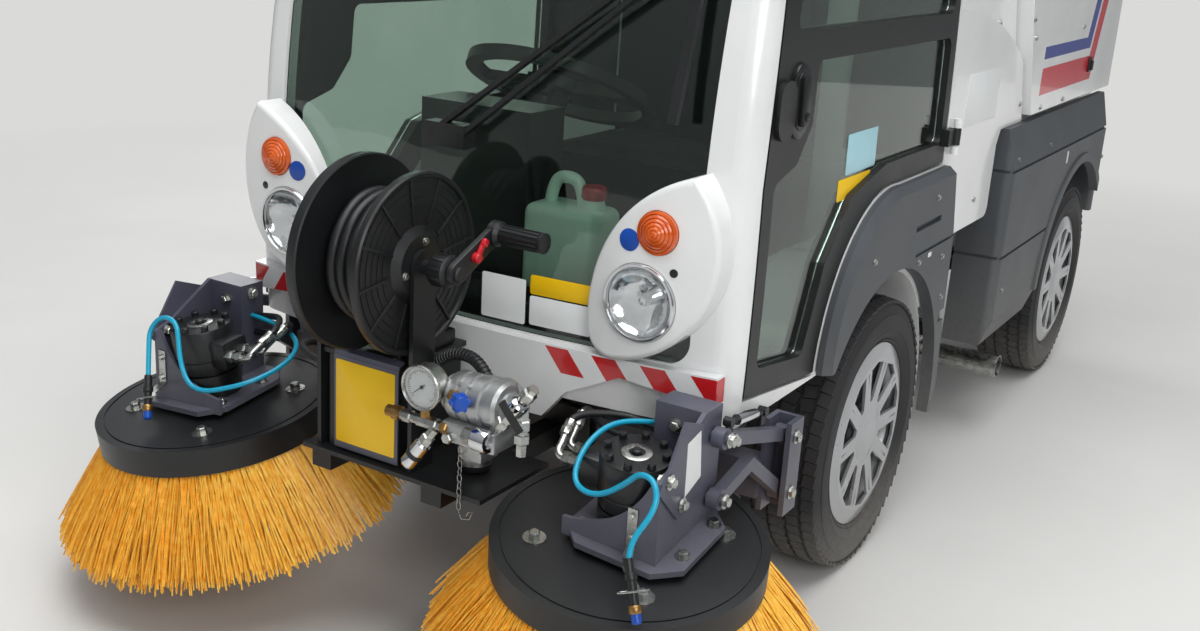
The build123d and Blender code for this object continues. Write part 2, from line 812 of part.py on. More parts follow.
def arm_link(rear, front, bend):
    """A link between two pins, with a bend above its straight line."""
    with BuildPart() as link:
        with BuildSketch(Plane.YZ.offset(link_x - link_thickness / 2)):
            with BuildLine() as spine:
                if bend:
                    knee = (rear[0] * 0.45 + front[0] * 0.55, rear[1] * 0.45 + front[1] * 0.55 + bend)
                    Polyline(rear, knee, front)
                else:
                    Line(rear, front)
            trace(line_width=2 * link_half_width)
            with Locations(rear, front):
                Circle(eye_radius)
                Circle(arm_pin_radius + running_gap, mode=Mode.SUBTRACT)
        extrude(amount=link_thickness)
    return link.part


left_right(arm_link(lower_rear, lower_front, lower_link_bend), "lower_link")
left_right(arm_link(upper_rear, upper_front, 0), "upper_link")

# Brush carrier: a base plate over the disc, a front web, an outer cheek and a box post for the links
post_outer = fork_in + fork_plate
with BuildPart() as carrier:
    with BuildSketch(Plane.XZ.offset(-(front_axle - front_web))):
        with BuildLine():
            Polyline((376, 405), (376, 340), (post_outer, 340), (post_outer, cheek_low))
            Line((post_outer, cheek_low), (post_outer - 14, cheek_low))
            ThreePointArc((post_outer - 14, cheek_low), (462, 427), (376, 405))
        make_face()
    extrude(amount=web_plate)
    with BuildSketch(Plane.YZ.offset(post_outer - web_plate)):
        with BuildLine():
            Polyline(
                side(-front_web - web_plate, 340),
                side(-front_web - web_plate, cheek_low),
                side(-front_web + 30, cheek_low + 14),
                side(-post_ahead, post_top),
                side(post_depth - post_ahead, post_top),
                side(post_depth - post_ahead, 340),
                close=True,
            )
        make_face()
    extrude(amount=web_plate)
    block(post_inner, post_outer, -post_ahead, post_depth - post_ahead, 340, post_top)
    inner = web_plate
    block(
        post_inner + inner,
        post_outer - inner,
        inner - post_ahead,
        post_depth - post_ahead - inner,
        300,
        post_top - inner,
        mode=Mode.SUBTRACT,
    )
    with BuildSketch(brush_plane.offset(16)):
        Rectangle(900, 900)
    extrude(amount=-300, mode=Mode.SUBTRACT)
    with BuildSketch(brush_plane.offset(16)) as foot:
        with Locations((18, 18)):
            Rectangle(210, 212)
        chamfer(foot.vertices(), 38)
    extrude(amount=10)
    with BuildSketch(brush_plane.offset(26)):
        Circle(motor_radius + 3)
    extrude(amount=300, mode=Mode.SUBTRACT)
    with BuildSketch(brush_plane.offset(10)):
        Circle(shaft_radius + 3)
    extrude(amount=30, mode=Mode.SUBTRACT)
    for pin in (lower_front, upper_front):
        bar(post_outer - 4, link_x + link_thickness / 2 + 5, pin[0] - front_axle, pin[1], arm_pin_radius)
left_right(carrier.part, "brush_carrier")

with BuildPart() as motor:
    with BuildSketch(brush_plane.offset(26 + seat_gap)):
        Circle(motor_radius)
    extrude(amount=45)
    with BuildSketch(brush_plane.offset(70)):
        Circle(motor_radius - 8)
    extrude(amount=90)
    with BuildSketch(brush_plane.offset(-4)):
        Circle(shaft_radius)
    extrude(amount=60)
left_right(motor.part, "brush_motor")

with BuildPart() as disc:
    with BuildSketch(Plane.XY.offset(-disc_thickness / 2)):
        Circle(brush_disc_radius)
    extrude(amount=disc_thickness)
    with BuildSketch(Plane.XY.offset(-disc_thickness / 2 - disc_rim_depth)):
        Circle(brush_disc_radius)
        Circle(brush_disc_radius - 5, mode=Mode.SUBTRACT)
    extrude(amount=disc_rim_depth + 1)
    with BuildSketch(Plane.XY.offset(disc_thickness / 2 - 2)):
        Circle(disc_groove + 2)
        Circle(disc_groove - 2, mode=Mode.SUBTRACT)
    extrude(amount=5, mode=Mode.SUBTRACT)
    with BuildSketch(Plane.XY.offset(-20)):
        Circle(shaft_radius + running_gap)
    extrude(amount=40, mode=Mode.SUBTRACT)
left_right(disc.part.moved(Location(brush_plane)), "brush_disc")

rim_low = -disc_thickness / 2 - disc_rim_depth
top = -disc_thickness / 2 - seat_gap
with BuildPart() as bristles:
    with BuildSketch(Plane.XZ):
        with BuildLine():
            Polyline(
                (bristle_root_radius - 14, top),
                (bristle_root_radius, rim_low),
                (brush_tip_radius, -brush_length),
                (brush_tip_radius - bristle_depth, -brush_length),
                (bristle_root_radius - bristle_depth, rim_low),
                (bristle_root_radius - bristle_depth - 14, top),
                close=True,
            )
        make_face()
    revolve(axis=Axis.Z)
left_right(bristles.part.moved(Location(brush_plane)), "brush_bristles")

# Front bracket with the reel's uprights, the pump cabinet, the pump and its filter
with BuildPart() as front_bracket:
    for x0 in (-142, 100):
        block(x0, x0 + 42, -930, -rail_front_ahead - seat_gap, 347, shelf_height)
    block(-150, 232, -945, -748, shelf_height, shelf_height + shelf_plate)
    block(-205, 205, -rail_front_ahead - 12, -rail_front_ahead - seat_gap, 335, 425)
    for x0 in (-127, 72):
        block(x0, x0 + 8, -reel_ahead - 28, -reel_ahead + 28, shelf_height, reel_height)
        bar(x0, x0 + 8, -reel_ahead, reel_height, 28)
        bar(x0 - 1, x0 + 9, -reel_ahead, reel_height, reel_axle_radius + running_gap, Mode.SUBTRACT)
save(front_bracket.part, "front_bracket")

with BuildPart() as cabinet:
    block(-112, 42, -925, -748, shelf_height + shelf_plate + seat_gap, 568)
    fillet(cabinet.edges().filter_by(Axis.Z), 8)
save(cabinet.part, "pump_cabinet")

with BuildPart() as pump:
    block(175, 275, -950, -885, pump_foot, 590)
    fillet(pump.edges().filter_by(Axis.Y), 18)
    block(178, 272, -1000, -948, 506, 596)
    fillet(pump.edges().filter_by(Axis.Z).group_by(Axis.Y)[0], 8)
    for x in (196, 225, 254):
        with BuildSketch(Plane.XZ.offset(-(front_axle - 998))):
            with Locations((x, 532), (x, 572)):
                Circle(11)
        extrude(amount=12)
    with BuildSketch(Plane.XZ.offset(-(front_axle - 890))):
        with Locations((225, 545)):
            Circle(34)
    extrude(amount=-28)
    bar(150, 180, -975, 525, 9)
    post(150, -975, 520, 560, 7)
    with BuildSketch(Plane.XZ.offset(-(front_axle - 965))):
        with Locations((150, 582)):
            Circle(gauge_radius)
    extrude(amount=32)
    bar(270, 312, -970, 556, 10)
    post(300, -970, 520, 556, 8)
    block(182, 228, -940, -890, shelf_height + shelf_plate + seat_gap, pump_foot + 5)
save(pump.part, "pressure_pump")

with BuildPart() as pump_filter:
    post(150, -850, shelf_height + shelf_plate + seat_gap, 475, 32)
save(pump_filter.part, "pump_filter")

# Hose reel with its crank, and the hose wound on it
with BuildPart() as reel:
    with BuildSketch(Plane.XZ):
        with BuildLine():
            right, left = reel_right, reel_left
            near, far = reel_flange_radius - 14, reel_flange_radius
            Polyline(
                (right - 14, far),
                (right - 14, far - 8),
                (right - 4, far - 8),
                (right - 4, 80),
                (right - 14, 62),
                (right - 14, 0),
                (left + 12, 0),
                (left + 12, 52),
                (left + 2, 66),
                (left + 2, near - 6),
                (left + 8, near - 6),
                (left + 8, near),
                (left - 4, near),
                (left - 4, reel_drum_radius),
                (right + 4, reel_drum_radius),
                (right + 4, far),
                close=True,
            )
        make_face()
    revolve(axis=Axis.X)
    for x0, reach in ((right - 9, far - 6), (left + 1, near - 4)):
        with BuildSketch(Plane.YZ.offset(x0)):
            with PolarLocations(60 + (reach - 60) / 2, 6):
                Rectangle(reach - 60, 5)
        extrude(amount=6)
    with BuildSketch(Plane.YZ.offset(-140)):
        Circle(reel_axle_radius)
    extrude(amount=292)
    with BuildSketch(Plane.YZ.offset(98)):
        Circle(24)
    extrude(amount=36)
    with BuildSketch(Plane.YZ.offset(134)):
        with BuildLine():
            Line((0, 0), (0, crank_radius))
        trace(line_width=30)
        with Locations((0, 0), (0, crank_radius)):
            Circle(17)
    extrude(amount=12)
    with BuildSketch(Plane.YZ.offset(140)):
        with Locations((0, crank_radius)):
            Circle(15)
    extrude(amount=100)
crank_rest = Rotation(-65, 0, 0)  # the crank points up and to the rear
reel_place = Location((0, front_axle - reel_ahead, reel_height))
save(reel.part.moved(reel_place * crank_rest), "hose_reel")

hose_turns = 6
turn_pitch = (reel_left - reel_right - 18) / hose_turns
with BuildPart() as wound_hose:
    with BuildSketch(Plane.XZ):
        with BuildLine():
            x = reel_right + 9
            first = (x, wound_radius - 10)
            Line((x, reel_drum_radius + seat_gap), first)
            for turn in range(hose_turns):
                start = (x + turn * turn_pitch, wound_radius - 10)
                middle = (x + (turn + 0.5) * turn_pitch, wound_radius)
                end = (x + (turn + 1) * turn_pitch, wound_radius - 10)
                ThreePointArc(start, middle, end)
            Line(end, (end[0], reel_drum_radius + seat_gap))
            Line((end[0], reel_drum_radius + seat_gap), (x, reel_drum_radius + seat_gap))
        make_face()
    revolve(axis=Axis.X)
save(wound_hose.part.moved(reel_place), "wound_hose")

# Engine and its white cover between the cab and the hopper
with BuildPart() as engine:
    block(-220, 220, 400, 740, rail_top + seat_gap, 950)
save(engine.part, "engine_block")

with BuildSketch(Plane.YZ) as hood_outline:
    with BuildLine():
        Polyline(
            side(cover_front, 845),
            side(cover_front, hood_top),
            side(650, hood_top + 20),
            side(slant_at(hood_top + 20) - slant_gap, hood_top + 20),
            side(slant_at(905) - slant_gap, 905),
            side(880, 845),
            close=True,
        )
    make_face()
    fillet(hood_outline.vertices().group_by(Axis.Y)[-1], 10)
with BuildSketch(Plane.YZ) as panel_outline:
    with BuildLine():
        Polyline(
            side(cover_front, 1142),
            side(cover_front, cover_bottom),
            side(752, cover_bottom),
            side(752, 806),
            side(775, 842),
            side(slant_at(842) - slant_gap, 842),
            side(slant_at(1000) - slant_gap, 1000),
        )
        ThreePointArc(side(slant_at(1000) - slant_gap, 1000), side(648, 1098), side(cover_front, 1142))
    make_face()
    fillet(panel_outline.vertices().group_by(Axis.Y)[0].sort_by(Axis.X)[-1], 25)
with BuildPart() as engine_cover:
    with BuildSketch(Plane.YZ.offset(-hood_half)):
        add(hood_outline.sketch_local)
    extrude(amount=2 * hood_half)
    with BuildSketch(Plane.YZ.offset(-hood_half + 20)):
        add(hood_outline.sketch_local)
        offset(amount=-20)
    extrude(amount=2 * hood_half - 40, mode=Mode.SUBTRACT)
    block(-hood_half + 20, hood_half - 20, cover_front + 20, 860, 700, 900, mode=Mode.SUBTRACT)
    for x0 in (-cover_half, hood_half - 1):
        with BuildSketch(Plane.YZ.offset(x0)):
            add(panel_outline.sketch_local)
        extrude(amount=cover_half - hood_half + 1)
save(engine_cover.part, "engine_cover")

# Rear skirts: moulded shells that wrap inward at their front, with the wheel arches cut out
with BuildSketch(Plane.YZ) as skirt_outline:
    with BuildLine():
        Polyline(
            side(skirt_front - 5, skirt_top + 5),
            side(skirt_front - 5, skirt_bottom),
            side(skirt_rear - 30, skirt_bottom),
            side(skirt_rear, 450),
            side(skirt_rear, skirt_top + 5),
            close=True,
        )
    make_face()
    with Locations(side(wheelbase, axle_height)):
        Circle(arch_radius, mode=Mode.SUBTRACT)


def skirt_section(inset, top, bottom):
    """The skirt's cross section: a lean at the top, an upright face and a bevel at the bottom."""
    face = skirt_half - inset
    with BuildSketch(Plane.XZ) as section:
        with BuildLine():
            Polyline(
                (skirt_wrap - inset, bottom),
                (face - skirt_bevel, bottom),
                (face - skirt_bevel, skirt_bottom),
                (face, skirt_belts[0]),
                (face, skirt_belts[2]),
                (face - skirt_lean, skirt_top),
                (face - skirt_lean, top),
                (skirt_wrap - inset, top),
                close=True,
            )
        make_face()
    return section.sketch_local


with BuildPart() as skirts:
    with BuildSketch(Plane.XZ.offset(-(front_axle + skirt_front))):
        add(skirt_section(0, skirt_top + 1, skirt_bottom - 1))
    extrude(amount=skirt_front - skirt_rear)
    corner_edges = skirts.edges().filter_by(Axis.Z).group_by(Axis.X)[-1]
    fillet(corner_edges.sort_by(Axis.Y)[0], 24)
    with BuildSketch(Plane.XZ.offset(-(front_axle + skirt_front + skirt_wall))):
        add(skirt_section(skirt_wall, skirt_top + 60, skirt_bottom - 60))
    extrude(amount=skirt_front - skirt_rear - 50, mode=Mode.SUBTRACT)
    add(side_prism(skirt_outline.sketch_local), mode=Mode.INTERSECT)
    for height in skirt_belts[1:]:
        low, high = height - skirt_groove, height + skirt_groove
        block(skirt_half - 6, 700, 700, skirt_rear + 5, low, high, mode=Mode.SUBTRACT)
        block(skirt_wrap - 5, 700, 700, skirt_front + 6, low, high, mode=Mode.SUBTRACT)
    with BuildSketch(Plane.YZ.offset(skirt_half - 8)) as arch_lip:
        with Locations(side(wheelbase, axle_height)):
            Circle(arch_radius + 26)
            Circle(arch_radius, mode=Mode.SUBTRACT)
        add(skirt_outline.sketch_local, mode=Mode.INTERSECT)
        with Locations(side(wheelbase, skirt_belts[0] - 150)):
            Rectangle(1200, 300, mode=Mode.SUBTRACT)
    extrude(amount=14)
with BuildPart() as rear_bumper:
    block(-540, 540, 1940, wheelbase + rear_overhang, 450, 620)
    fillet(rear_bumper.edges().filter_by(Axis.Z), 12)
    block(-rail_outer, rail_outer, 1915 + seat_gap, 1945, rail_bottom + 20, 470)
    block(-45, 45, 1940, tow_behind + 20, tow_height - tow_plate / 2, tow_height + tow_plate / 2)
    post(0, tow_behind, tow_height - 20, tow_height + 20, tow_bore, Mode.SUBTRACT)
    with BuildSketch(Plane.XZ.offset(-(front_axle + wheelbase + rear_overhang + 1))):
        with Locations((420, 535), (-420, 535)):
            RectangleRounded(180 + 2 * seat_gap, 90 + 2 * seat_gap, 20)
    extrude(amount=7 + seat_gap, mode=Mode.SUBTRACT)
save(Compound(children=[*both_sides(skirts.part).solids(), rear_bumper.part]), "rear_skirts")

with BuildPart() as tail_lamp:
    with BuildSketch(Plane.XZ.offset(-(front_axle + wheelbase + rear_overhang))):
        with Locations((420, 535)):
            RectangleRounded(180, 90, 20)
    extrude(amount=6)
save(both_sides(tail_lamp.part), "tail_lamps")

# Hopper, tipped about its lower rear edge, with a hatch hung at its top
def hopper_body(inset):
    """The hopper's outer form taken in by an inset."""
    with BuildPart() as body:
        with BuildSketch(Plane.YZ.offset(-hopper_lower_half + inset)):
            with BuildLine():
                Polyline(
                    side(hopper_lower_front + inset, 900),
                    side(hopper_lower_front + inset, hopper_low + inset),
                    side(1450, hopper_low + inset),
                    side(1870 - inset, 790 + inset),
                    side(hopper_rear - inset, 840 + inset),
                    side(hopper_rear - inset, 900),
                    close=True,
                )
            make_face()
        extrude(amount=2 * (hopper_lower_half - inset))
        with BuildSketch(Plane.YZ.offset(-hopper_half + inset)):
            with BuildLine():
                Polyline(
                    side(slant_at(hopper_side_low) + inset, hopper_side_low + inset),
                    side(slant_at(hopper_upright) + inset, hopper_upright),
                    side(slant_at(hopper_upright) + inset, hopper_top - inset),
                    side(hopper_rear - inset, hopper_top - inset),
                    side(hopper_rear - inset, hopper_side_low + inset),
                    close=True,
                )
            make_face()
        extrude(amount=2 * (hopper_half - inset))
        if not inset:
            fillet(body.edges().filter_by(Axis.Y).group_by(Axis.Z)[-1], 55)
    return body.part


with BuildPart() as hopper:
    add(hopper_body(0))
    add(hopper_body(hopper_wall), mode=Mode.SUBTRACT)
    block(-470, 470, 1800, 1950, 935, 1745, mode=Mode.SUBTRACT)
    post(0, duct_behind, 600, 720, 88, Mode.SUBTRACT)
    for s in (1, -1):
        x0, x1 = sorted((s * 274, s * 314))
        block(x0, x1, hopper_rear - 10, tip_behind, tip_height - 16, tip_height + 16)
        bar(x0, x1, tip_behind, tip_height, 16)
        bar(x0, x1, tip_behind, tip_height, 12 + running_gap, Mode.SUBTRACT)
        for lug in (330, 375):
            x0, x1 = sorted((s * lug, s * (lug + 15)))
            block(x0, x1, 1880, tip_behind + 8, hopper_top - 20, hatch_hinge_height + 10)
        x0, x1 = sorted((s * 330, s * 390))
        bar(x0, x1, tip_behind, hatch_hinge_height, 5)
save(hopper.part, "hopper")

with BuildPart() as hatch:
    low, high = hatch_bottom, hatch_top
    block(-hatch_half, hatch_half, hopper_rear + seat_gap, hopper_rear + 22, low, high)
    for s in (1, -1):
        x0, x1 = sorted((s * 348, s * 372))
        block(x0, x1, hopper_rear + 12, tip_behind, hatch_top - 20, hatch_hinge_height)
        bar(x0, x1, tip_behind, hatch_hinge_height, 10)
        bar(x0, x1, tip_behind, hatch_hinge_height, 5 + running_gap, Mode.SUBTRACT)
save(hatch.part, "hopper_hatch")

# Suction mouth and duct below the hopper's front, and the exhaust
with BuildPart() as suction:
    block(-300, 300, 560, 800, 30, 190)
    for x0 in (-190, 170):
        block(x0, x0 + 20, 600, 640, 185, rail_bottom - seat_gap)
        block(x0, x0 + 20, 730, 770, 185, rail_bottom - seat_gap)
    block(-285, 285, 575, 785, 20, 175, mode=Mode.SUBTRACT)
    with BuildSketch(Plane.XY.offset(188)):
        with Locations((0, front_axle + 700)):
            Circle(80)
    with BuildSketch(Plane.XY.offset(hopper_low - 8)):
        with Locations((0, front_axle + duct_behind)):
            Circle(80)
    loft()
    with BuildSketch(Plane.XY.offset(150)):
        with Locations((0, front_axle + 690)):
            Circle(72)
    with BuildSketch(Plane.XY.offset(hopper_low - 7)):
        with Locations((0, front_axle + duct_behind)):
            Circle(72)
    loft(mode=Mode.SUBTRACT)
save(suction.part, "suction_nozzle")

with BuildPart() as exhaust:
    with BuildSketch(Plane.XZ.offset(-(front_axle + 1075))):
        with Locations((290, 225)):
            Ellipse(70, 55)
    extrude(amount=250)
    fillet(exhaust.edges(), 14)
    bar(290, exhaust_end, exhaust_behind, exhaust_height, 30)
    bar(340, exhaust_end + 1, exhaust_behind, exhaust_height, 27, Mode.SUBTRACT)
    block(185, 205, 900, 930, 250, rail_bottom - seat_gap)
    block(185, 260, 900, 930, 235, 255)
save(exhaust.part, "exhaust_pipe")
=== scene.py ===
import json
import math
import random

import bmesh
import bpy
from mathutils import Matrix, Vector
from mathutils.bvhtree import BVHTree


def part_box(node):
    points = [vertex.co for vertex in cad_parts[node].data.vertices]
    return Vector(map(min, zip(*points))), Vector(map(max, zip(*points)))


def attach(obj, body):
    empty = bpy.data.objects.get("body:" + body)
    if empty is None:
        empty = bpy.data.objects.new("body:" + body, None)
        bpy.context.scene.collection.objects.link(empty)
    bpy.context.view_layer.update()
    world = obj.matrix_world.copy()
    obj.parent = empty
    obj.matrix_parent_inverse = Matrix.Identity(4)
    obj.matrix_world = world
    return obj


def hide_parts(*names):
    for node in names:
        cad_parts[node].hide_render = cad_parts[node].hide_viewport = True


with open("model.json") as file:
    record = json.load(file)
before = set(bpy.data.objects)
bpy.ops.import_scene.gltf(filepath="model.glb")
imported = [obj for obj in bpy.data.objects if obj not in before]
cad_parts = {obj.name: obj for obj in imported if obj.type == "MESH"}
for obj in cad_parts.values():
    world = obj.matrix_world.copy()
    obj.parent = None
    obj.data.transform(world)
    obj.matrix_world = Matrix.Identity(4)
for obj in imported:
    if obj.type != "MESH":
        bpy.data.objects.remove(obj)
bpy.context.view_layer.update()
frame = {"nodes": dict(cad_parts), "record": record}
nodes = frame["nodes"]
scene = bpy.context.scene
frontAxle = sum(corner.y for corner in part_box("tyre_front_left")) / 2
corners = ("front_left", "front_right", "rear_left", "rear_right")
sides = ((1, "left"), (-1, "right"))
print("frame loaded, front axle at", round(frontAxle, 3))


def at(x, behind, height):
    # A place measured from the front axle, as the vehicle's own drawings give it
    return Vector((x, frontAxle + behind, height))


def path(points):
    # Places of a list of points, each measured from the front axle
    return [at(*point) for point in points]


def framed(place, across, up, out):
    # A local frame at a place, from the directions of its own X, Y and Z
    return Matrix.Translation(place) @ Matrix((across, up, out)).transposed().to_4x4()


def onCircle(radius, angle):
    return radius * math.cos(angle), radius * math.sin(angle)


def arc(wide, tall, middle=(0, 0), start=0, sweep=360, steps=40):
    # Points along an ellipse with these half axes, or along a part of it
    turns = (math.radians(start + sweep * i / steps) for i in range(steps + (sweep < 360)))
    return [(middle[0] + wide * math.cos(a), middle[1] + tall * math.sin(a)) for a in turns]


def ringSpots(place, radius, height, count, start):
    # Spots for bolts on a circle about a local frame's Z
    up = place.to_3x3() @ Vector((0, 0, 1))
    turns = (math.radians(start + 360 * i / count) for i in range(count))
    return [(place @ Vector((*onCircle(radius, a), height)), up) for a in turns]


camera = {  # where the photographer stood, from the front axle, and the view's turn in degrees
    "place": (1.372, -2.525, 1.323),
    "turn": 30.71,
    "down": 17.36,
    "roll": 3.58,
    "lens": 39.96,
}


def addCamera():
    turn, down, roll = (math.radians(camera[key]) for key in ("turn", "down", "roll"))
    forward = Vector((-math.sin(turn) * math.cos(down), math.cos(turn) * math.cos(down), -math.sin(down)))
    level = forward.cross(Vector((0, 0, 1))).normalized()
    upright = level.cross(forward)
    right = level * math.cos(roll) + upright * math.sin(roll)
    up = upright * math.cos(roll) - level * math.sin(roll)
    data = bpy.data.cameras.new("camera")
    data.lens = camera["lens"]
    data.sensor_width = 36
    eye = bpy.data.objects.new("camera", data)
    eye.matrix_world = framed(at(*camera["place"]), right, up, -forward)
    scene.collection.objects.link(eye)
    scene.camera = eye


addCamera()


def linear(hexValue):
    def channel(text):
        value = int(text, 16) / 255
        return value / 12.92 if value <= 0.04045 else ((value + 0.055) / 1.055) ** 2.4
    return (*(channel(hexValue[i:i + 2]) for i in (1, 3, 5)), 1.0)


def perMm(size):
    # A texture scale that gives one feature in so many millimetres
    return 1000.0 / size


def addNode(tree, kind, inputs=None, links=None, stops=(), **settings):
    # Adds a node with its settings, values and links; stops fill a ramp. A node stands for its first output
    node = tree.nodes.new(kind)
    for name, value in settings.items():
        setattr(node, name, value)

    def find(key):
        if isinstance(key, int):
            return node.inputs[key]
        return next(socket for socket in node.inputs if socket.name == key and socket.enabled)

    for key, value in (inputs or {}).items():
        find(key).default_value = value
    for key, sources in (links or {}).items():
        for source in sources if isinstance(sources, list) else [sources]:
            tree.links.new(source.outputs[0] if isinstance(source, bpy.types.Node) else source, find(key))
    for index, (spot, colour) in enumerate(stops):
        band = node.color_ramp.elements
        element = band[index] if index < 2 else band.new(spot)
        element.position = spot
        element.color = linear(colour) if isinstance(colour, str) else (colour, colour, colour, 1)
    return node


def newMaterial(name, **shader):
    material = bpy.data.materials.new(name)
    material.use_nodes = True
    tree = material.node_tree
    bsdf = tree.nodes["Principled BSDF"]
    for key, value in shader.items():
        bsdf.inputs[key.replace("_", " ")].default_value = value
    return material, tree, bsdf, addNode(tree, "ShaderNodeTexCoord").outputs["Object"]


def surface(name, light, dark, rough, grainMm, depthMm, patchMm=180, coat=0.0, dustFrom=0.0,
            dust="#98928a", metallic=0.0, paintOver=None):
    # A painted, moulded or cast surface: a grain, slow patches, and road dust low on the machine
    material, tree, bsdf, spot = newMaterial(name, Metallic=metallic, Coat_Weight=coat)
    patch = addNode(tree, "ShaderNodeTexNoise", {"Scale": perMm(patchMm), "Detail": 5.0}, {"Vector": spot})
    tint = addNode(tree, "ShaderNodeValToRGB", links={"Fac": patch.outputs["Fac"]},
                   stops=[(0.3, dark), (0.7, light)])
    colour = tint.outputs["Color"]
    if paintOver:
        colour = paintOver(tree, spot, colour)
    if dustFrom:
        height = addNode(tree, "ShaderNodeSeparateXYZ", links={"Vector": spot}).outputs["Z"]
        fall = addNode(tree, "ShaderNodeMapRange", {"From Min": dustFrom, "From Max": 0.05, "To Max": 0.7},
                       {"Value": height})
        speck = addNode(tree, "ShaderNodeTexNoise", {"Scale": perMm(14), "Detail": 8.0, "Roughness": 0.7},
                        {"Vector": spot})
        amount = addNode(tree, "ShaderNodeMath", links={0: fall.outputs["Result"], 1: speck.outputs["Fac"]},
                         operation="MULTIPLY")
        colour = addNode(tree, "ShaderNodeMix", {7: linear(dust)}, {0: amount, 6: colour},
                         data_type="RGBA").outputs[2]
    tree.links.new(colour, bsdf.inputs["Base Color"])
    gloss = addNode(tree, "ShaderNodeValToRGB", links={"Fac": patch.outputs["Fac"]},
                    stops=[(0.25, rough * 0.85), (0.75, min(1.0, rough * 1.15))])
    tree.links.new(gloss.outputs["Color"], bsdf.inputs["Roughness"])
    grain = addNode(tree, "ShaderNodeTexNoise", {"Scale": perMm(grainMm), "Detail": 3.0}, {"Vector": spot})
    relief = addNode(tree, "ShaderNodeBump", {"Strength": 1.0, "Distance": depthMm / 1000},
                     {"Height": grain.outputs["Fac"]})
    tree.links.new(relief.outputs["Normal"], bsdf.inputs["Normal"])
    return material


bumperStripes = {"low": 0.553, "high": 0.597, "pitch": 0.088, "slant": 0.75, "shift": 0.035, "from": 0.20}
sideStripes = (  # colour, low and high edge of the level band, then of the steep band behind it
    ("#2f3f97", 0.997, 1.029, 1.482, 1.545),
    ("#cf2b35", 0.904, 0.974, 1.565, 1.640),
)
sideSlope = {"lean": 0.42, "height": 1.0, "from": 1.02, "side": 0.534}


def paintBumper(tree, spot, colour):
    # Slanted red bands on the white bumper, as on any road-works vehicle
    place = addNode(tree, "ShaderNodeSeparateXYZ", links={"Vector": spot})
    out = addNode(tree, "ShaderNodeMath", links={0: place.outputs["X"]}, operation="ABSOLUTE")
    lean = addNode(tree, "ShaderNodeMath", {1: bumperStripes["slant"]}, {0: place.outputs["Z"], 2: out},
                   operation="MULTIPLY_ADD")
    moved = addNode(tree, "ShaderNodeMath", {1: bumperStripes["shift"]}, {0: lean}, operation="SUBTRACT")
    turns = addNode(tree, "ShaderNodeMath", {1: 1 / bumperStripes["pitch"]}, {0: moved}, operation="MULTIPLY")
    part = addNode(tree, "ShaderNodeMath", {1: 1.0}, {0: turns}, operation="FLOORED_MODULO")
    band = addNode(tree, "ShaderNodeMath", {1: 0.5}, {0: part}, operation="LESS_THAN")
    above = addNode(tree, "ShaderNodeMath", {1: bumperStripes["low"]}, {0: place.outputs["Z"]},
                    operation="GREATER_THAN")
    below = addNode(tree, "ShaderNodeMath", {1: bumperStripes["high"]}, {0: place.outputs["Z"]},
                    operation="LESS_THAN")
    strip = addNode(tree, "ShaderNodeMath", links={0: above, 1: below}, operation="MULTIPLY")
    ends = addNode(tree, "ShaderNodeMath", {1: bumperStripes["from"]}, {0: out}, operation="GREATER_THAN")
    both = addNode(tree, "ShaderNodeMath", links={0: strip, 1: band}, operation="MULTIPLY")
    mask = addNode(tree, "ShaderNodeMath", links={0: both, 1: ends}, operation="MULTIPLY")
    return addNode(tree, "ShaderNodeMix", {7: linear("#c8161d")}, {0: mask, 6: colour},
                   data_type="RGBA").outputs[2]


def paintStripes(tree, spot, colour):
    # Two bands along the load bin's sides, turning up near its rear corner
    place = addNode(tree, "ShaderNodeSeparateXYZ", links={"Vector": spot})
    out = addNode(tree, "ShaderNodeMath", links={0: place.outputs["X"]}, operation="ABSOLUTE")
    behind = addNode(tree, "ShaderNodeMath", {1: frontAxle}, {0: place.outputs["Y"]},
                     operation="SUBTRACT").outputs[0]
    level = place.outputs["Z"]
    steep = addNode(tree, "ShaderNodeMath", {1: -sideSlope["lean"]}, {0: place.outputs["Z"], 2: behind},
                    operation="MULTIPLY_ADD").outputs[0]
    side = addNode(tree, "ShaderNodeMath", {1: sideSlope["side"]}, {0: out}, operation="GREATER_THAN")
    start = addNode(tree, "ShaderNodeMath", {1: sideSlope["from"]}, {0: behind}, operation="GREATER_THAN")
    for ink, low, high, near, far in sideStripes:
        shift = -sideSlope["lean"] * sideSlope["height"]
        tests = []
        for value, edge, test in ((level, low, "GREATER_THAN"), (level, high, "LESS_THAN"),
                                  (steep, near + shift, "GREATER_THAN"), (steep, far + shift, "LESS_THAN")):
            tests.append(addNode(tree, "ShaderNodeMath", {1: edge}, {0: value}, operation=test).outputs[0])
        either = addNode(tree, "ShaderNodeMath", links={0: tests[1], 1: tests[2]}, operation="MAXIMUM")
        inside = addNode(tree, "ShaderNodeMath", links={0: tests[0], 1: tests[3]}, operation="MULTIPLY")
        mask = addNode(tree, "ShaderNodeMath", links={0: either, 1: inside}, operation="MULTIPLY")
        for limit in (side, start):
            mask = addNode(tree, "ShaderNodeMath", links={0: mask, 1: limit}, operation="MULTIPLY")
        colour = addNode(tree, "ShaderNodeMix", {7: linear(ink)}, {0: mask, 6: colour},
                         data_type="RGBA").outputs[2]
    return colour


mats = {}
# Two-pack white enamel, sprayed: glossy with a faint orange peel, dusty towards the wheels
mats["white_paint"] = surface("whiteEnamel", "#eceded", "#e4e5e4", 0.22, 4, 0.05, coat=0.4, dustFrom=0.6)
mats["bumperPaint"] = surface("stripedEnamel", "#eceded", "#e2e3e2", 0.25, 4, 0.05, coat=0.4, dustFrom=0.6,
                              paintOver=paintBumper)
mats["binPaint"] = surface("stripedBinEnamel", "#eceded", "#e2e3e2", 0.22, 4, 0.05, coat=0.4, dustFrom=0.6,
                           paintOver=paintStripes)
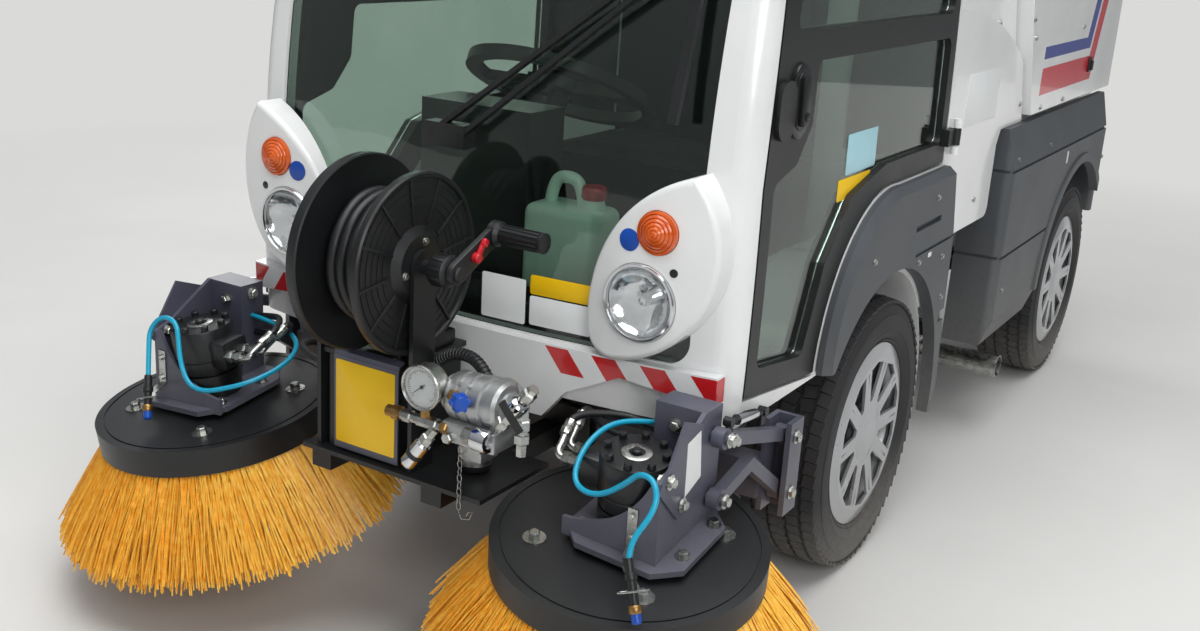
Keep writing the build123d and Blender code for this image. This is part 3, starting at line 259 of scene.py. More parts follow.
# Chassis paint, brushed on black: satin, with road dust lying on it
mats["black_paint"] = surface("chassisPaint", "#1b1c1e", "#131415", 0.42, 2.5, 0.1, dustFrom=0.3)
# Powder coat in a violet grey, baked on laser-cut steel: even satin with a fine peel
mats["grey_steel"] = surface("powderCoat", "#555664", "#4b4c5a", 0.4, 2.2, 0.12, dustFrom=0.5)
# Rotomoulded polyethylene in dark grey: a stippled skin from the mould, faded where the sun lies
mats["grey_plastic"] = surface("mouldedPolyethylene", "#4d5155", "#43464a", 0.5, 1.6, 0.18, dustFrom=0.6)
# Injection-moulded ABS in black: slight grain, greys a little with age
mats["black_plastic"] = surface("blackAbs", "#1b1c1e", "#131415", 0.42, 1.4, 0.1)
mats["mirror_black"] = surface("glossAbs", "#17181a", "#101112", 0.3, 2.0, 0.05)
# Sand-cast housing in black paint: coarse skin
mats["cast_black"] = surface("castHousingPaint", "#1c1d1f", "#121314", 0.35, 3.0, 0.35)
# Vulcanised hose rubber: dull black with a fine cloth imprint
mats["hose_rubber"] = surface("hoseRubber", "#1a1b1d", "#121315", 0.45, 1.5, 0.15)
# Sand-cast aluminium alloy, left bare: pale grey with a fine pitted skin
mats["pump_metal"] = surface("castAluminium", "#b9bbbb", "#9c9e9e", 0.38, 1.6, 0.25, patchMm=40,
                             metallic=0.85)
# Zinc-plated steel: bright, a little yellowed and streaky
mats["steel"] = surface("zincPlate", "#c5c6c2", "#a3a49f", 0.28, 1.2, 0.05, patchMm=15, metallic=1.0)
# Turned brass fittings, dulled
mats["brass"] = surface("dullBrass", "#b08a54", "#8a6a3e", 0.35, 1.2, 0.08, patchMm=15, metallic=0.9)
# Seat cloth, woven polyester: a dark tight weave
mats["seat_cloth"] = surface("seatCloth", "#2b2c30", "#1f2023", 0.9, 1.8, 0.4)
# Blow-moulded polyethylene tank, translucent, with a greenish fill
mats["milky_tank"] = surface("blownPolyethylene", "#eef9f1", "#d3ecdf", 0.35, 3.0, 0.1)
# Ribbed acrylic lamp lenses
mats["amber_lens"] = surface("amberAcrylic", "#e2641a", "#c94f10", 0.18, 6.0, 0.3, patchMm=30, coat=0.6)
mats["red_lens"] = surface("redAcrylic", "#b3140f", "#8f0e0b", 0.18, 6.0, 0.3, patchMm=30, coat=0.6)
# Vacuum-coated reflector bowl
mats["lamp_reflector"] = surface("coatedReflector", "#e6e7e9", "#cfd0d2", 0.08, 9.0, 0.4, metallic=1.0)
# Road tyre compound: matt, greyed by dust
mats["tyre_rubber"] = surface("tyreRubber", "#28282a", "#1e1e20", 0.62, 2.0, 0.2, dustFrom=0.22)
# Extruded polypropylene bristle, colour through the mass
mats["bristle"] = surface("polypropyleneBristle", "#ffd05a", "#f2a92c", 0.4, 6.0, 0.1, patchMm=12)
# Small moulded parts in signal colours
mats["redPlastic"] = surface("redAcetal", "#c8202c", "#b31822", 0.3, 2.0, 0.05)
mats["bluePlastic"] = surface("blueAcetal", "#1550b4", "#0f429c", 0.35, 2.0, 0.05)
mats["cyanHose"] = surface("cyanPolyurethane", "#17a3c4", "#1294b6", 0.28, 3.0, 0.03)
# Stove-enamelled aluminium plate, blank
mats["yellowPlate"] = surface("yellowPlate", "#f2c40c", "#eab908", 0.35, 3.0, 0.03)
mats["paleBlank"] = surface("palePlate", "#a9d3dc", "#9fcad4", 0.35, 3.0, 0.03)
mats["whitePlate"] = surface("whitePlate", "#e6e8e8", "#dcdedd", 0.35, 3.0, 0.03)
# Orange signal enamel, and clear mirror glass silvered at its back
mats["orangePaint"] = surface("orangeEnamel", "#ee6a1e", "#dd5a12", 0.35, 3.0, 0.03)
mats["mirrorSilver"] = surface("silveredGlass", "#dfe3e4", "#d5dadb", 0.03, 60.0, 0.01, patchMm=90,
                               metallic=1.0)
mats["dialPaper"] = surface("dialEnamel", "#eeefee", "#e4e6e6", 0.4, 3.0, 0.01, patchMm=30)
# Polished chrome plate
mats["chrome"] = surface("chromePlate", "#dcdddf", "#cfd0d3", 0.08, 4.0, 0.01, patchMm=30, metallic=1.0)


# Depths inside the wheel over which painted shade darkens the silver: from the face in to where it is full
wheelRecessShade = {"face": 0.522, "depth": 0.508}  # distances from the vehicle's middle


def wheelLacquer(name):
    # Silver lacquer over a moulded cover: fine flake; inside the wheel's windows, painted shade darkens it to
    # near black
    def shadeInsideWheel(tree, spot, colour):
        across = addNode(tree, "ShaderNodeSeparateXYZ", links={"Vector": spot}).outputs["X"]
        out = addNode(tree, "ShaderNodeMath", links={0: across}, operation="ABSOLUTE")
        # Painted shade: from the wheel's face inwards the silver is mixed to near black
        mask = addNode(tree, "ShaderNodeMapRange",
                       {"From Min": wheelRecessShade["face"], "From Max": wheelRecessShade["depth"]}, {"Value": out})
        return addNode(tree, "ShaderNodeMix", {7: linear("#161617")}, {0: mask.outputs["Result"], 6: colour},
                       data_type="RGBA").outputs[2]
    return surface(name, "#b4b6b9", "#a5a7aa", 0.3, 0.8, 0.03, coat=0.5, metallic=0.6, dustFrom=0.3,
                   paintOver=shadeInsideWheel)


mats["silver_wheel"] = wheelLacquer("silverLacquer")


def glassMaterial(name, light, dark):
    # Toughened glass, tinted in the mass: clear gloss outside, dark cabin behind
    material, tree, bsdf, spot = newMaterial(name, IOR=1.45, Transmission_Weight=1.0)
    film = addNode(tree, "ShaderNodeTexNoise", {"Scale": perMm(220), "Detail": 4.0}, {"Vector": spot})
    tint = addNode(tree, "ShaderNodeValToRGB", links={"Fac": film.outputs["Fac"]},
                   stops=[(0.3, dark), (0.7, light)])
    tree.links.new(tint.outputs["Color"], bsdf.inputs["Base Color"])
    gloss = addNode(tree, "ShaderNodeValToRGB", links={"Fac": film.outputs["Fac"]},
                    stops=[(0.4, 0.01), (0.75, 0.04)])
    tree.links.new(gloss.outputs["Color"], bsdf.inputs["Roughness"])
    return material


mats["tinted_glass"] = glassMaterial("tintedGlass", "#c6d5cd", "#bccdc4")
mats["clear_lens"] = glassMaterial("clearAcrylic", "#f4f6f6", "#eceeee")

slots = {row["node"]: row["material_slot"] for row in frame["record"]["subparts"]}
for name, node in nodes.items():
    node.data.materials.clear()
    node.data.materials.append(mats[slots[name]])
nodes["front_bumper"].data.materials[0] = mats["bumperPaint"]
nodes["hopper"].data.materials[0] = mats["binPaint"]
print("materials ready:", len(mats))


def facing(place, direction, twist=0.0):
    # A local frame whose Z looks along a direction
    return (Matrix.Translation(place) @ Vector(direction).to_track_quat("Z", "Y").to_matrix().to_4x4()
            @ Matrix.Rotation(math.radians(twist), 4, "Z"))


def mm(*pairs):
    # Pairs of sizes written in millimetres
    return [(a / 1000, b / 1000) for a, b in pairs]


def spun(place, degrees):
    # A local frame turned about its own Z
    return place @ Matrix.Rotation(math.radians(degrees), 4, "Z")


def turned(bm, profile, place, steps=32):
    # Turns (radius, along) pairs about the local Z axis
    rings = []
    for radius, along in profile:
        if radius < 1e-6:
            rings.append([bm.verts.new(place @ Vector((0, 0, along)))])
            continue
        angles = (2 * math.pi * i / steps for i in range(steps))
        rings.append([bm.verts.new(place @ Vector((*onCircle(radius, a), along))) for a in angles])
    for near, far in zip(rings, rings[1:]):
        for i in range(steps):
            j = (i + 1) % steps
            face = [near[i % len(near)], near[j % len(near)], far[j % len(far)], far[i % len(far)]]
            face = list(dict.fromkeys(face))
            if len(face) > 2:
                bm.faces.new(face)


def turnedShape(profile, place, steps):
    # A new shape that is turned all round
    bm = bmesh.new()
    turned(bm, profile, place, steps)
    return bm


def skinOver(bm, rings):
    # Faces over rings of points, closed at both ends
    count = len(rings[0])
    for near, far in zip(rings, rings[1:]):
        for i in range(count):
            j = (i + 1) % count
            bm.faces.new([near[i], near[j], far[j], far[i]])
    bm.faces.new(rings[0][::-1])
    bm.faces.new(rings[-1])


def brokenBlock(bm, low, high, place=None, edge=0.002, rounds=2):
    # A block with its edges broken
    size = [b - a for a, b in zip(low, high)]
    middle = [(a + b) / 2 for a, b in zip(low, high)]
    frameHere = (place or Matrix()) @ Matrix.Translation(middle) @ Matrix.Diagonal((*size, 1))
    made = bmesh.ops.create_cube(bm, size=1.0, matrix=frameHere)["verts"]
    edges = list({e for v in made for e in v.link_edges})
    bmesh.ops.bevel(bm, geom=edges, offset=edge, segments=rounds, profile=0.5, affect="EDGES")


def platePrism(bm, outline, depth, place, edge=0.0):
    # A flat plate cut to an outline, its face on local Z = 0 and its depth behind it
    top = [bm.verts.new(place @ Vector((x, y, 0))) for x, y in outline]
    bottom = [bm.verts.new(place @ Vector((x, y, -depth))) for x, y in outline]
    faces = [bm.faces.new(top), bm.faces.new(list(reversed(bottom)))]
    for i in range(len(outline)):
        j = (i + 1) % len(outline)
        faces.append(bm.faces.new([top[i], bottom[i], bottom[j], top[j]]))
    if edge:
        edges = list(faces[0].edges)
        bmesh.ops.bevel(bm, geom=edges, offset=edge, segments=2, profile=0.5, affect="EDGES")


def roundOutline(width, height, radius, steps=5):
    # The corner points of a rectangle with round corners
    points = []
    for cx, cy, start in ((1, 1, 0), (-1, 1, 90), (-1, -1, 180), (1, -1, 270)):
        points += arc(radius, radius, (cx * (width / 2 - radius), cy * (height / 2 - radius)), start, 90,
                      steps)
    return points


def smoothLine(name, points, diameter, facets, runs, straight=False):
    # An object with one line through or near its points, swept to a tube if it has a diameter
    line = bpy.data.curves.new(name, "CURVE")
    line.dimensions = "3D"
    spline = line.splines.new("POLY" if straight else "NURBS")
    spline.points.add(len(points) - 1)
    for point, place in zip(spline.points, points):
        point.co = (*place, 1)
    if not straight:
        spline.order_u = 3
        spline.use_endpoint_u = True
    line.bevel_depth = diameter / 2
    line.bevel_resolution = facets
    line.resolution_u = runs
    line.use_fill_caps = diameter > 0
    return bpy.data.objects.new(name, line)


def pipe(bm, points, diameter, straight=False, sides=3):
    # A pipe or a hose held at both ends, swept along a smooth line through its bends
    holder = smoothLine("pipe", points, diameter, sides, 6, straight)
    bm.from_mesh(bpy.data.meshes.new_from_object(holder))
    bpy.data.objects.remove(holder)


def settle(name, shape, body, slot, material=None, replaces=(), sharp=35):
    # Puts a finished shape into the scene, on the body that carries it
    if isinstance(shape, bmesh.types.BMesh):
        bmesh.ops.remove_doubles(shape, verts=shape.verts, dist=1e-5)
        bmesh.ops.recalc_face_normals(shape, faces=shape.faces)
        mesh = bpy.data.meshes.new(name)
        shape.to_mesh(mesh)
        shape.free()
    else:
        mesh = shape
        mesh.name = name
    mesh.materials.clear()
    mesh.materials.append(material or mats[slot])
    mesh.shade_smooth()
    mesh.set_sharp_from_angle(angle=math.radians(sharp))
    piece = bpy.data.objects.new(name, mesh)
    scene.collection.objects.link(piece)
    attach(piece, body)
    if replaces:
        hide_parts(*replaces)
    return piece


def geometryTree(name, **sizes):
    # A Geometry Nodes tree with named sizes and a material
    tree = bpy.data.node_groups.new(name, "GeometryNodeTree")
    tree.interface.new_socket("Geometry", in_out="INPUT", socket_type="NodeSocketGeometry")
    tree.interface.new_socket("Geometry", in_out="OUTPUT", socket_type="NodeSocketGeometry")
    tree.interface.new_socket("Material", in_out="INPUT", socket_type="NodeSocketMaterial")
    for label, value in sizes.items():
        kind = "NodeSocketInt" if isinstance(value, int) else "NodeSocketFloat"
        tree.interface.new_socket(label, in_out="INPUT", socket_type=kind).default_value = value
    return tree, addNode(tree, "NodeGroupInput")


def closeTree(tree, enter, geometry):
    real = addNode(tree, "GeometryNodeRealizeInstances", links={"Geometry": geometry})
    painted = addNode(tree, "GeometryNodeSetMaterial",
                      links={"Geometry": real.outputs["Geometry"], "Material": enter.outputs["Material"]})
    addNode(tree, "NodeGroupOutput", links={"Geometry": painted.outputs["Geometry"]})


def shaped(piece):
    # The mesh that an object's modifiers make
    return bpy.data.meshes.new_from_object(piece.evaluated_get(bpy.context.evaluated_depsgraph_get()))


def grow(tree, mesh, material, **sizes):
    # Runs a tree once and hands back its result as a plain mesh
    carrier = bpy.data.objects.new(tree.name, mesh)
    scene.collection.objects.link(carrier)
    modifier = carrier.modifiers.new("grow", "NODES")
    modifier.node_group = tree
    for item in tree.interface.items_tree:
        if item.name == "Material" and item.in_out == "INPUT":
            modifier[item.identifier] = material
        elif item.name in sizes:
            modifier[item.identifier] = sizes[item.name]
    result = shaped(carrier)
    bpy.data.objects.remove(carrier)
    return result


def pointMesh(spots):
    # Points with the way each one faces, for a tree to stand its shapes on
    mesh = bpy.data.meshes.new("points")
    mesh.from_pydata([spot[0] for spot in spots], [], [])
    ways = mesh.attributes.new("facing", "FLOAT_VECTOR", "POINT")
    ways.data.foreach_set("vector", [value for spot in spots for value in Vector(spot[1]).normalized()])
    return mesh


def fastenerTree():
    # A bolt or screw on its washer, stood on every point
    tree, enter = geometryTree("fasteners", Sides=6, Radius=0.0065, Height=0.006, Washer=0.009, Thick=0.0015)
    size = enter.outputs
    half = addNode(tree, "ShaderNodeMath", {1: 0.5}, {0: size["Thick"]}, operation="MULTIPLY")
    lowLift = addNode(tree, "ShaderNodeCombineXYZ", links={"Z": half})
    disc = addNode(tree, "GeometryNodeMeshCylinder", {"Vertices": 16},
                   {"Radius": size["Washer"], "Depth": size["Thick"]})
    washer = addNode(tree, "GeometryNodeTransform",
                     links={"Geometry": disc.outputs["Mesh"], "Translation": lowLift})
    neck = addNode(tree, "ShaderNodeMath", {1: 0.4}, {0: size["Height"], 2: size["Thick"]},
                   operation="MULTIPLY_ADD")
    headLift = addNode(tree, "ShaderNodeCombineXYZ", links={"Z": neck})
    lower = addNode(tree, "ShaderNodeMath", {1: 0.8}, {0: size["Height"]}, operation="MULTIPLY")
    barrel = addNode(tree, "GeometryNodeMeshCylinder",
                     links={"Vertices": size["Sides"], "Radius": size["Radius"],
                            "Depth": lower})
    head = addNode(tree, "GeometryNodeTransform",
                   links={"Geometry": barrel.outputs["Mesh"], "Translation": headLift})
    crownHigh = addNode(tree, "ShaderNodeMath", {1: 0.2}, {0: size["Height"]}, operation="MULTIPLY")
    crownWide = addNode(tree, "ShaderNodeMath", {1: 0.82}, {0: size["Radius"]}, operation="MULTIPLY")
    cone = addNode(tree, "GeometryNodeMeshCone",
                   links={"Vertices": size["Sides"], "Radius Bottom": size["Radius"],
                          "Radius Top": crownWide, "Depth": crownHigh})
    crownAt = addNode(tree, "ShaderNodeMath", {1: 0.8},
                      {0: size["Height"], 2: size["Thick"]}, operation="MULTIPLY_ADD")
    crownLift = addNode(tree, "ShaderNodeCombineXYZ", links={"Z": crownAt})
    crown = addNode(tree, "GeometryNodeTransform",
                    links={"Geometry": cone.outputs["Mesh"], "Translation": crownLift})
    whole = addNode(tree, "GeometryNodeJoinGeometry", links={"Geometry": [washer, head, crown]})
    way = addNode(tree, "GeometryNodeInputNamedAttribute", {"Name": "facing"}, data_type="FLOAT_VECTOR")
    turn = addNode(tree, "FunctionNodeAlignRotationToVector", links={"Vector": way.outputs["Attribute"]},
                   axis="Z")
    stood = addNode(tree, "GeometryNodeInstanceOnPoints",
                    links={"Points": size["Geometry"], "Instance": whole,
                           "Rotation": turn.outputs["Rotation"]})
    closeTree(tree, enter, stood.outputs["Instances"])
    return tree


fasteners = fastenerTree()


def fasten(name, body, spots, slot="steel", material=None, **sizes):
    # Bolts or screws at (place, facing) spots
    mesh = grow(fasteners, pointMesh(spots), material or mats[slot], **sizes)
    return settle(name, mesh, body, slot, material, sharp=30)


brush = {  # the side brush, from the front axle; lengths along its own axis count down from the disc
    "place": (0.46, -0.855, 0.362),
    "leanForward": 8.0,
    "leanOut": 5.0,
    "discTop": 0.006,
    "boltCircle": 0.151,
}


def brushFrame(side):
    outward, ahead = math.radians(brush["leanOut"]), math.radians(brush["leanForward"])
    axis = Vector((side * math.sin(outward), -math.sin(ahead), 1.0)).normalized()
    across = (Vector((1, 0, 0)) - axis * axis.x).normalized()
    x, behind, height = brush["place"]
    return framed(at(side * x, behind, height), across, axis.cross(across), axis)


bristleSizes = {
    "Count": 3000,
    "RootRadius": 0.188,
    "RootSpread": 0.018,
    "Reach": 0.0952,
    "ReachSpread": 0.035,
    "Drop": 0.193,
    "Shorter": 0.034,
    "Sway": 0.075,
    "Bow": 0.014,
    "Thick": 0.0017,
    "Seed": 11,
}


def bristleTree():
    # Bristles set in a ring, each one leaning out by its own amount and a little bowed
    tree, enter = geometryTree("bristles", **bristleSizes)
    size = enter.outputs
    points = addNode(tree, "GeometryNodePoints", links={"Count": size["Count"]})
    index = addNode(tree, "GeometryNodeInputIndex").outputs[0]
    angle = addNode(tree, "ShaderNodeMath", {1: 2.39996}, {0: index}, operation="MULTIPLY")
    draws = []
    for offset in range(4):
        seed = addNode(tree, "ShaderNodeMath", {1: float(offset)}, {0: size["Seed"]}, operation="ADD")
        draws.append(addNode(tree, "FunctionNodeRandomValue", {"Min": 0.0, "Max": 1.0}, {"Seed": seed},
                             data_type="FLOAT").outputs[1])
    cosine = addNode(tree, "ShaderNodeMath", links={0: angle}, operation="COSINE")
    sine = addNode(tree, "ShaderNodeMath", links={0: angle}, operation="SINE")
    outward = addNode(tree, "ShaderNodeCombineXYZ", links={"X": cosine, "Y": sine}).outputs[0]
    around = addNode(tree, "ShaderNodeVectorMath", {1: (0, 0, 1)}, {0: outward},
                     operation="CROSS_PRODUCT").outputs[0]
    root = addNode(tree, "ShaderNodeMath", links={0: draws[0], 1: size["RootSpread"], 2: size["RootRadius"]},
                   operation="MULTIPLY_ADD")
    rootPlace = addNode(tree, "ShaderNodeVectorMath", links={0: outward, "Scale": root}, operation="SCALE")
    # The outer bristles lean out most, with some chance in each one
    mixed = addNode(tree, "ShaderNodeMath", {1: 0.6}, {0: draws[0]}, operation="MULTIPLY")
    chance = addNode(tree, "ShaderNodeMath", {1: 0.4}, {0: draws[1], 2: mixed}, operation="MULTIPLY_ADD")
    reach = addNode(tree, "ShaderNodeMath", links={0: chance, 1: size["ReachSpread"], 2: size["Reach"]},
                    operation="MULTIPLY_ADD")
    out = addNode(tree, "ShaderNodeVectorMath", links={0: outward, "Scale": reach}, operation="SCALE")
    centred = addNode(tree, "ShaderNodeMath", {1: 0.5}, {0: draws[2]}, operation="SUBTRACT")
    sway = addNode(tree, "ShaderNodeMath", links={0: centred, 1: size["Sway"]}, operation="MULTIPLY")
    swing = addNode(tree, "ShaderNodeVectorMath", links={0: around, "Scale": sway}, operation="SCALE")
    less = addNode(tree, "ShaderNodeMath", links={0: draws[3], 1: size["Shorter"]}, operation="MULTIPLY")
    drop = addNode(tree, "ShaderNodeMath", links={0: less, 1: size["Drop"]}, operation="SUBTRACT")
    down = addNode(tree, "ShaderNodeCombineXYZ", links={"Z": drop})
    lean = addNode(tree, "ShaderNodeVectorMath", links={0: out, 1: swing}, operation="ADD")
    tip = addNode(tree, "ShaderNodeVectorMath", links={0: lean, 1: down}, operation="ADD")
    placed = addNode(tree, "GeometryNodeSetPosition", links={"Geometry": points, "Position": rootPlace})
    kept = addNode(tree, "GeometryNodeStoreNamedAttribute", {"Name": "tip"},
                   {"Geometry": placed, "Value": tip}, data_type="FLOAT_VECTOR")
    kept = addNode(tree, "GeometryNodeStoreNamedAttribute", {"Name": "outward"},
                   {"Geometry": kept, "Value": outward}, data_type="FLOAT_VECTOR")
    stem = addNode(tree, "GeometryNodeCurvePrimitiveLine", {"End": (0, 0, -0.0001)})
    stem = addNode(tree, "GeometryNodeResampleCurve", {"Count": 6}, {"Curve": stem})
    stood = addNode(tree, "GeometryNodeInstanceOnPoints", links={"Points": kept, "Instance": stem})
    real = addNode(tree, "GeometryNodeRealizeInstances", links={"Geometry": stood})
    along = addNode(tree, "GeometryNodeSplineParameter").outputs["Factor"]
    way = addNode(tree, "GeometryNodeInputNamedAttribute", {"Name": "tip"}, data_type="FLOAT_VECTOR")
    straight = addNode(tree, "ShaderNodeVectorMath", links={0: way, "Scale": along}, operation="SCALE")
    squared = addNode(tree, "ShaderNodeMath", links={0: along, 1: along}, operation="MULTIPLY")
    hump = addNode(tree, "ShaderNodeMath", links={0: along, 1: squared}, operation="SUBTRACT")
    bow = addNode(tree, "ShaderNodeMath", links={0: hump, 1: size["Bow"]}, operation="MULTIPLY")
    side = addNode(tree, "GeometryNodeInputNamedAttribute", {"Name": "outward"}, data_type="FLOAT_VECTOR")
    bowed = addNode(tree, "ShaderNodeVectorMath", links={0: side, "Scale": bow}, operation="SCALE")
    offset = addNode(tree, "ShaderNodeVectorMath", links={0: straight, 1: bowed}, operation="ADD")
    bent = addNode(tree, "GeometryNodeSetPosition", links={"Geometry": real, "Offset": offset})
    section = addNode(tree, "GeometryNodeCurvePrimitiveCircle", {"Resolution": 3}, {"Radius": size["Thick"]})
    body = addNode(tree, "GeometryNodeCurveToMesh", {"Fill Caps": True},
                   {"Curve": bent, "Profile Curve": section})
    closeTree(tree, enter, body.outputs[0])
    return tree


bristles = bristleTree()
for side, word in sides:
    seed = bristleSizes["Seed"] + 10 * (side < 0)
    mesh = grow(bristles, bpy.data.meshes.new("seedbed"), mats["bristle"], **{**bristleSizes, "Seed": seed})
    mesh.transform(brushFrame(side) @ Matrix.Translation((0, 0, -0.030)))
    settle("bristles_" + word, mesh, "brush_" + word, "bristle", replaces=("brush_bristles_" + word,),
           sharp=80)
    spots = ringSpots(brushFrame(side), brush["boltCircle"], brush["discTop"], 4, 38)
    fasten("discBolts_" + word, "brush_" + word, spots, Radius=0.0095, Height=0.011, Washer=0.019,
           Thick=0.002)
print("brushes ready")

tyre = {
    "radius": 0.2895,
    "base": 0.2828,
    "rows": ((-0.0665, 0.024, 9.0), (-0.0355, 0.025, 0.0), (0.0, 0.031, 0.0), (0.0355, 0.025, 0.0),
             (0.0665, 0.024, -9.0)),
    "outerDrop": 0.0028,
    "pitches": 66,
    "stagger": 0.37,
    "gap": 0.0022,
    "skew": 9.0,
    "profile": (  # half of the section: radius, distance from the middle
        (0.262, 0.0), (0.262, 0.060), (0.215, 0.062), (0.178, 0.050), (0.178, 0.062), (0.190, 0.0635),
        (0.196, 0.071), (0.199, 0.0765), (0.2025, 0.0785), (0.2045, 0.0765), (0.208, 0.0795),
        (0.222, 0.0852), (0.2225, 0.0862), (0.2245, 0.0864), (0.225, 0.0858), (0.242, 0.0868),
        (0.254, 0.0852), (0.2545, 0.0858), (0.2570, 0.0852), (0.2575, 0.0838), (0.266, 0.0808),
        (0.2735, 0.0778), (0.2785, 0.0752), (0.2815, 0.0710), (0.2828, 0.0640), (0.2832, 0.0)),
}


def treadTree():
    # Tread blocks on the points of a drum, each facing outwards and skewed about its own radius
    tree, enter = geometryTree("treadBlocks", Across=0.024, Along=0.024, Deep=0.0067, Skew=0.15)
    size = enter.outputs
    extent = addNode(tree, "ShaderNodeCombineXYZ", links={"X": size["Along"],
                                                        "Y": size["Across"],
                                                        "Z": size["Deep"]})
    cube = addNode(tree, "GeometryNodeMeshCube", links={"Size": extent})
    turnBy = addNode(tree, "ShaderNodeCombineXYZ", links={"Z": size["Skew"]})
    skewed = addNode(tree, "GeometryNodeTransform", links={"Geometry": cube, "Rotation": turnBy})
    way = addNode(tree, "GeometryNodeInputNamedAttribute", {"Name": "facing"}, data_type="FLOAT_VECTOR")
    up = addNode(tree, "FunctionNodeAlignRotationToVector", links={"Vector": way.outputs["Attribute"]},
                 axis="Z")
    level = addNode(tree, "FunctionNodeAlignRotationToVector", {"Vector": (1, 0, 0)},
                    {"Rotation": up.outputs["Rotation"]}, axis="Y", pivot_axis="Z")
    stood = addNode(tree, "GeometryNodeInstanceOnPoints",
                    links={"Points": size["Geometry"], "Instance": skewed,
                           "Rotation": level.outputs["Rotation"]})
    closeTree(tree, enter, stood.outputs["Instances"])
    return tree


treadBlocks = treadTree()


def tyreMesh():
    # A road tyre about the X axis, its middle at the origin
    bm = bmesh.new()
    half = list(tyre["profile"])
    turned(bm, half + [(radius, -along) for radius, along in reversed(half)],
           Matrix.Rotation(math.radians(90), 4, "Y"), steps=72)
    for row, (across, wide, tilt) in enumerate(tyre["rows"]):
        deep = tyre["radius"] - tyre["base"]
        spots = []
        for i in range(tyre["pitches"]):
            a = 2 * math.pi * (i + tyre["stagger"] * row) / tyre["pitches"]
            radius = tyre["base"] + deep / 2 - (tyre["outerDrop"] if tilt else 0)
            lean = math.radians(tilt)
            out = Vector((-math.sin(lean), *onCircle(math.cos(lean), a)))
            spots.append(((across, *onCircle(radius, a)), out))
        length = 2 * math.pi * tyre["radius"] / tyre["pitches"] - tyre["gap"]
        skew = math.radians(tyre["skew"] * (1 if row % 2 else -1))
        blocks = grow(treadBlocks, pointMesh(spots), mats["tyre_rubber"], Across=wide, Along=length,
                      Deep=deep, Skew=skew)
        bm.from_mesh(blocks)
    mesh = bpy.data.meshes.new("tyre")
    bmesh.ops.remove_doubles(bm, verts=bm.verts, dist=1e-6)
    bmesh.ops.recalc_face_normals(bm, faces=bm.faces)
    bm.to_mesh(mesh)
    bm.free()
    return mesh


oneTyre = tyreMesh()
for corner in corners:
    low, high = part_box("tyre_" + corner)
    mesh = oneTyre.copy()
    mesh.transform(Matrix.Translation((low + high) / 2))
    settle("roadTyre_" + corner, mesh, "wheel_" + corner, "tyre_rubber", replaces=("tyre_" + corner,),
           sharp=28)
print("tyres ready")

reel = {
    "ahead": -0.905,
    "height": 0.745,
    "left": 0.058,
    "right": -0.052,
    "hose": 0.0190,
    "layers": ((0.078, 0.0100, 3.5), (0.0945, 0.0, 4.5), (0.1070, 0.0095, 3.6)),
    "rimRight": 0.165,
    "rimLeft": 0.151,
    "inset": 0.0105,
    "waver": 0.0016,
    "sag": 0.0022,
    "crank": 0.113,
    "crankTurn": 65.0,
    "latchTurn": -28.648,
    "axle": mm((0, -140), (11, -140), (13, -138), (13, 150), (11, 152), (0, 152)),
    "grip": mm((0, 134), (19, 134), (21.5, 137), (21.5, 150), (19, 153), (15.8, 156), (15.8, 232),
               (17.2, 235), (17.2, 239), (15, 240), (0, 240)),
    "hub": mm((24.5, 100), (26.5, 104), (26.5, 128), (24, 131), (16, 134.5), (0, 134.5)),
    "latchPivot": mm((0, -2), (8.5, -2), (8.5, 8), (7, 10), (0, 10)),
}


def reelPieces():
    # Two pressed flanges on a drum, the axle with its hub, and the flat crank arm
    left = Vector((1, 0, 0))
    place = facing(at(0, reel["ahead"], reel["height"]), left)
    near, far, low, high = reel["right"], reel["left"], reel["rimLeft"], reel["rimRight"]
    bm = bmesh.new()
    turned(bm, [(0, near - 0.012), (0.060, near - 0.012), (0.078, near - 0.002),
                (high - 0.016, near - 0.003), (high - 0.010, near - 0.012), (high - 0.002, near - 0.014),
                (high, near - 0.010), (high, near + 0.004), (high - 0.003, near + 0.006),
                (high - 0.014, near + 0.004), (0.070, near + 0.004), (0.068, near + 0.008),
                (0.068, far - 0.008), (0.070, far - 0.003), (low - 0.010, far - 0.003),
                (low - 0.003, far - 0.006), (low, far - 0.004), (low, far + 0.006),
                (low - 0.003, far + 0.009), (low - 0.008, far + 0.008), (low - 0.010, far + 0.003),
                (0.064, far + 0.003), (0.050, far + 0.013), (0, far + 0.013)], place, steps=72)
    for i in range(12):
        turn = spun(place, 30 * i + 8)
        brokenBlock(bm, (-0.0025, 0.066, far + 0.001), (0.0025, low - 0.009, far + 0.007), turn, 0.001)
        brokenBlock(bm, (-0.0025, 0.080, near - 0.008), (0.0025, high - 0.016, near - 0.002), turn, 0.001)
    for i in range(5):
        radius = 0.082 + 0.013 * i
        turned(bm, [(radius, far + 0.001), (radius, far + 0.0042), (radius + 0.0022, far + 0.0042),
                    (radius + 0.0022, far + 0.001), (radius, far + 0.001)], place, steps=56)
    turned(bm, reel["axle"], place, steps=24)
    turn = math.radians(reel["crankTurn"])
    arm = Vector((0, math.sin(turn), math.cos(turn)))
    flat = framed(at(0, reel["ahead"], reel["height"]), arm.cross(left), arm, left)
    outline = arc(0.017, 0.017, (0, reel["crank"]), 0, 180, 10) + arc(0.019, 0.019, (0, 0), 180, 180, 10)
    platePrism(bm, outline, 0.010, flat @ Matrix.Translation((0, 0, 0.146)), 0.0012)
    settle("reelBody", bm, "reel", "black_plastic", replaces=("hose_reel",), sharp=30)


reelPieces()


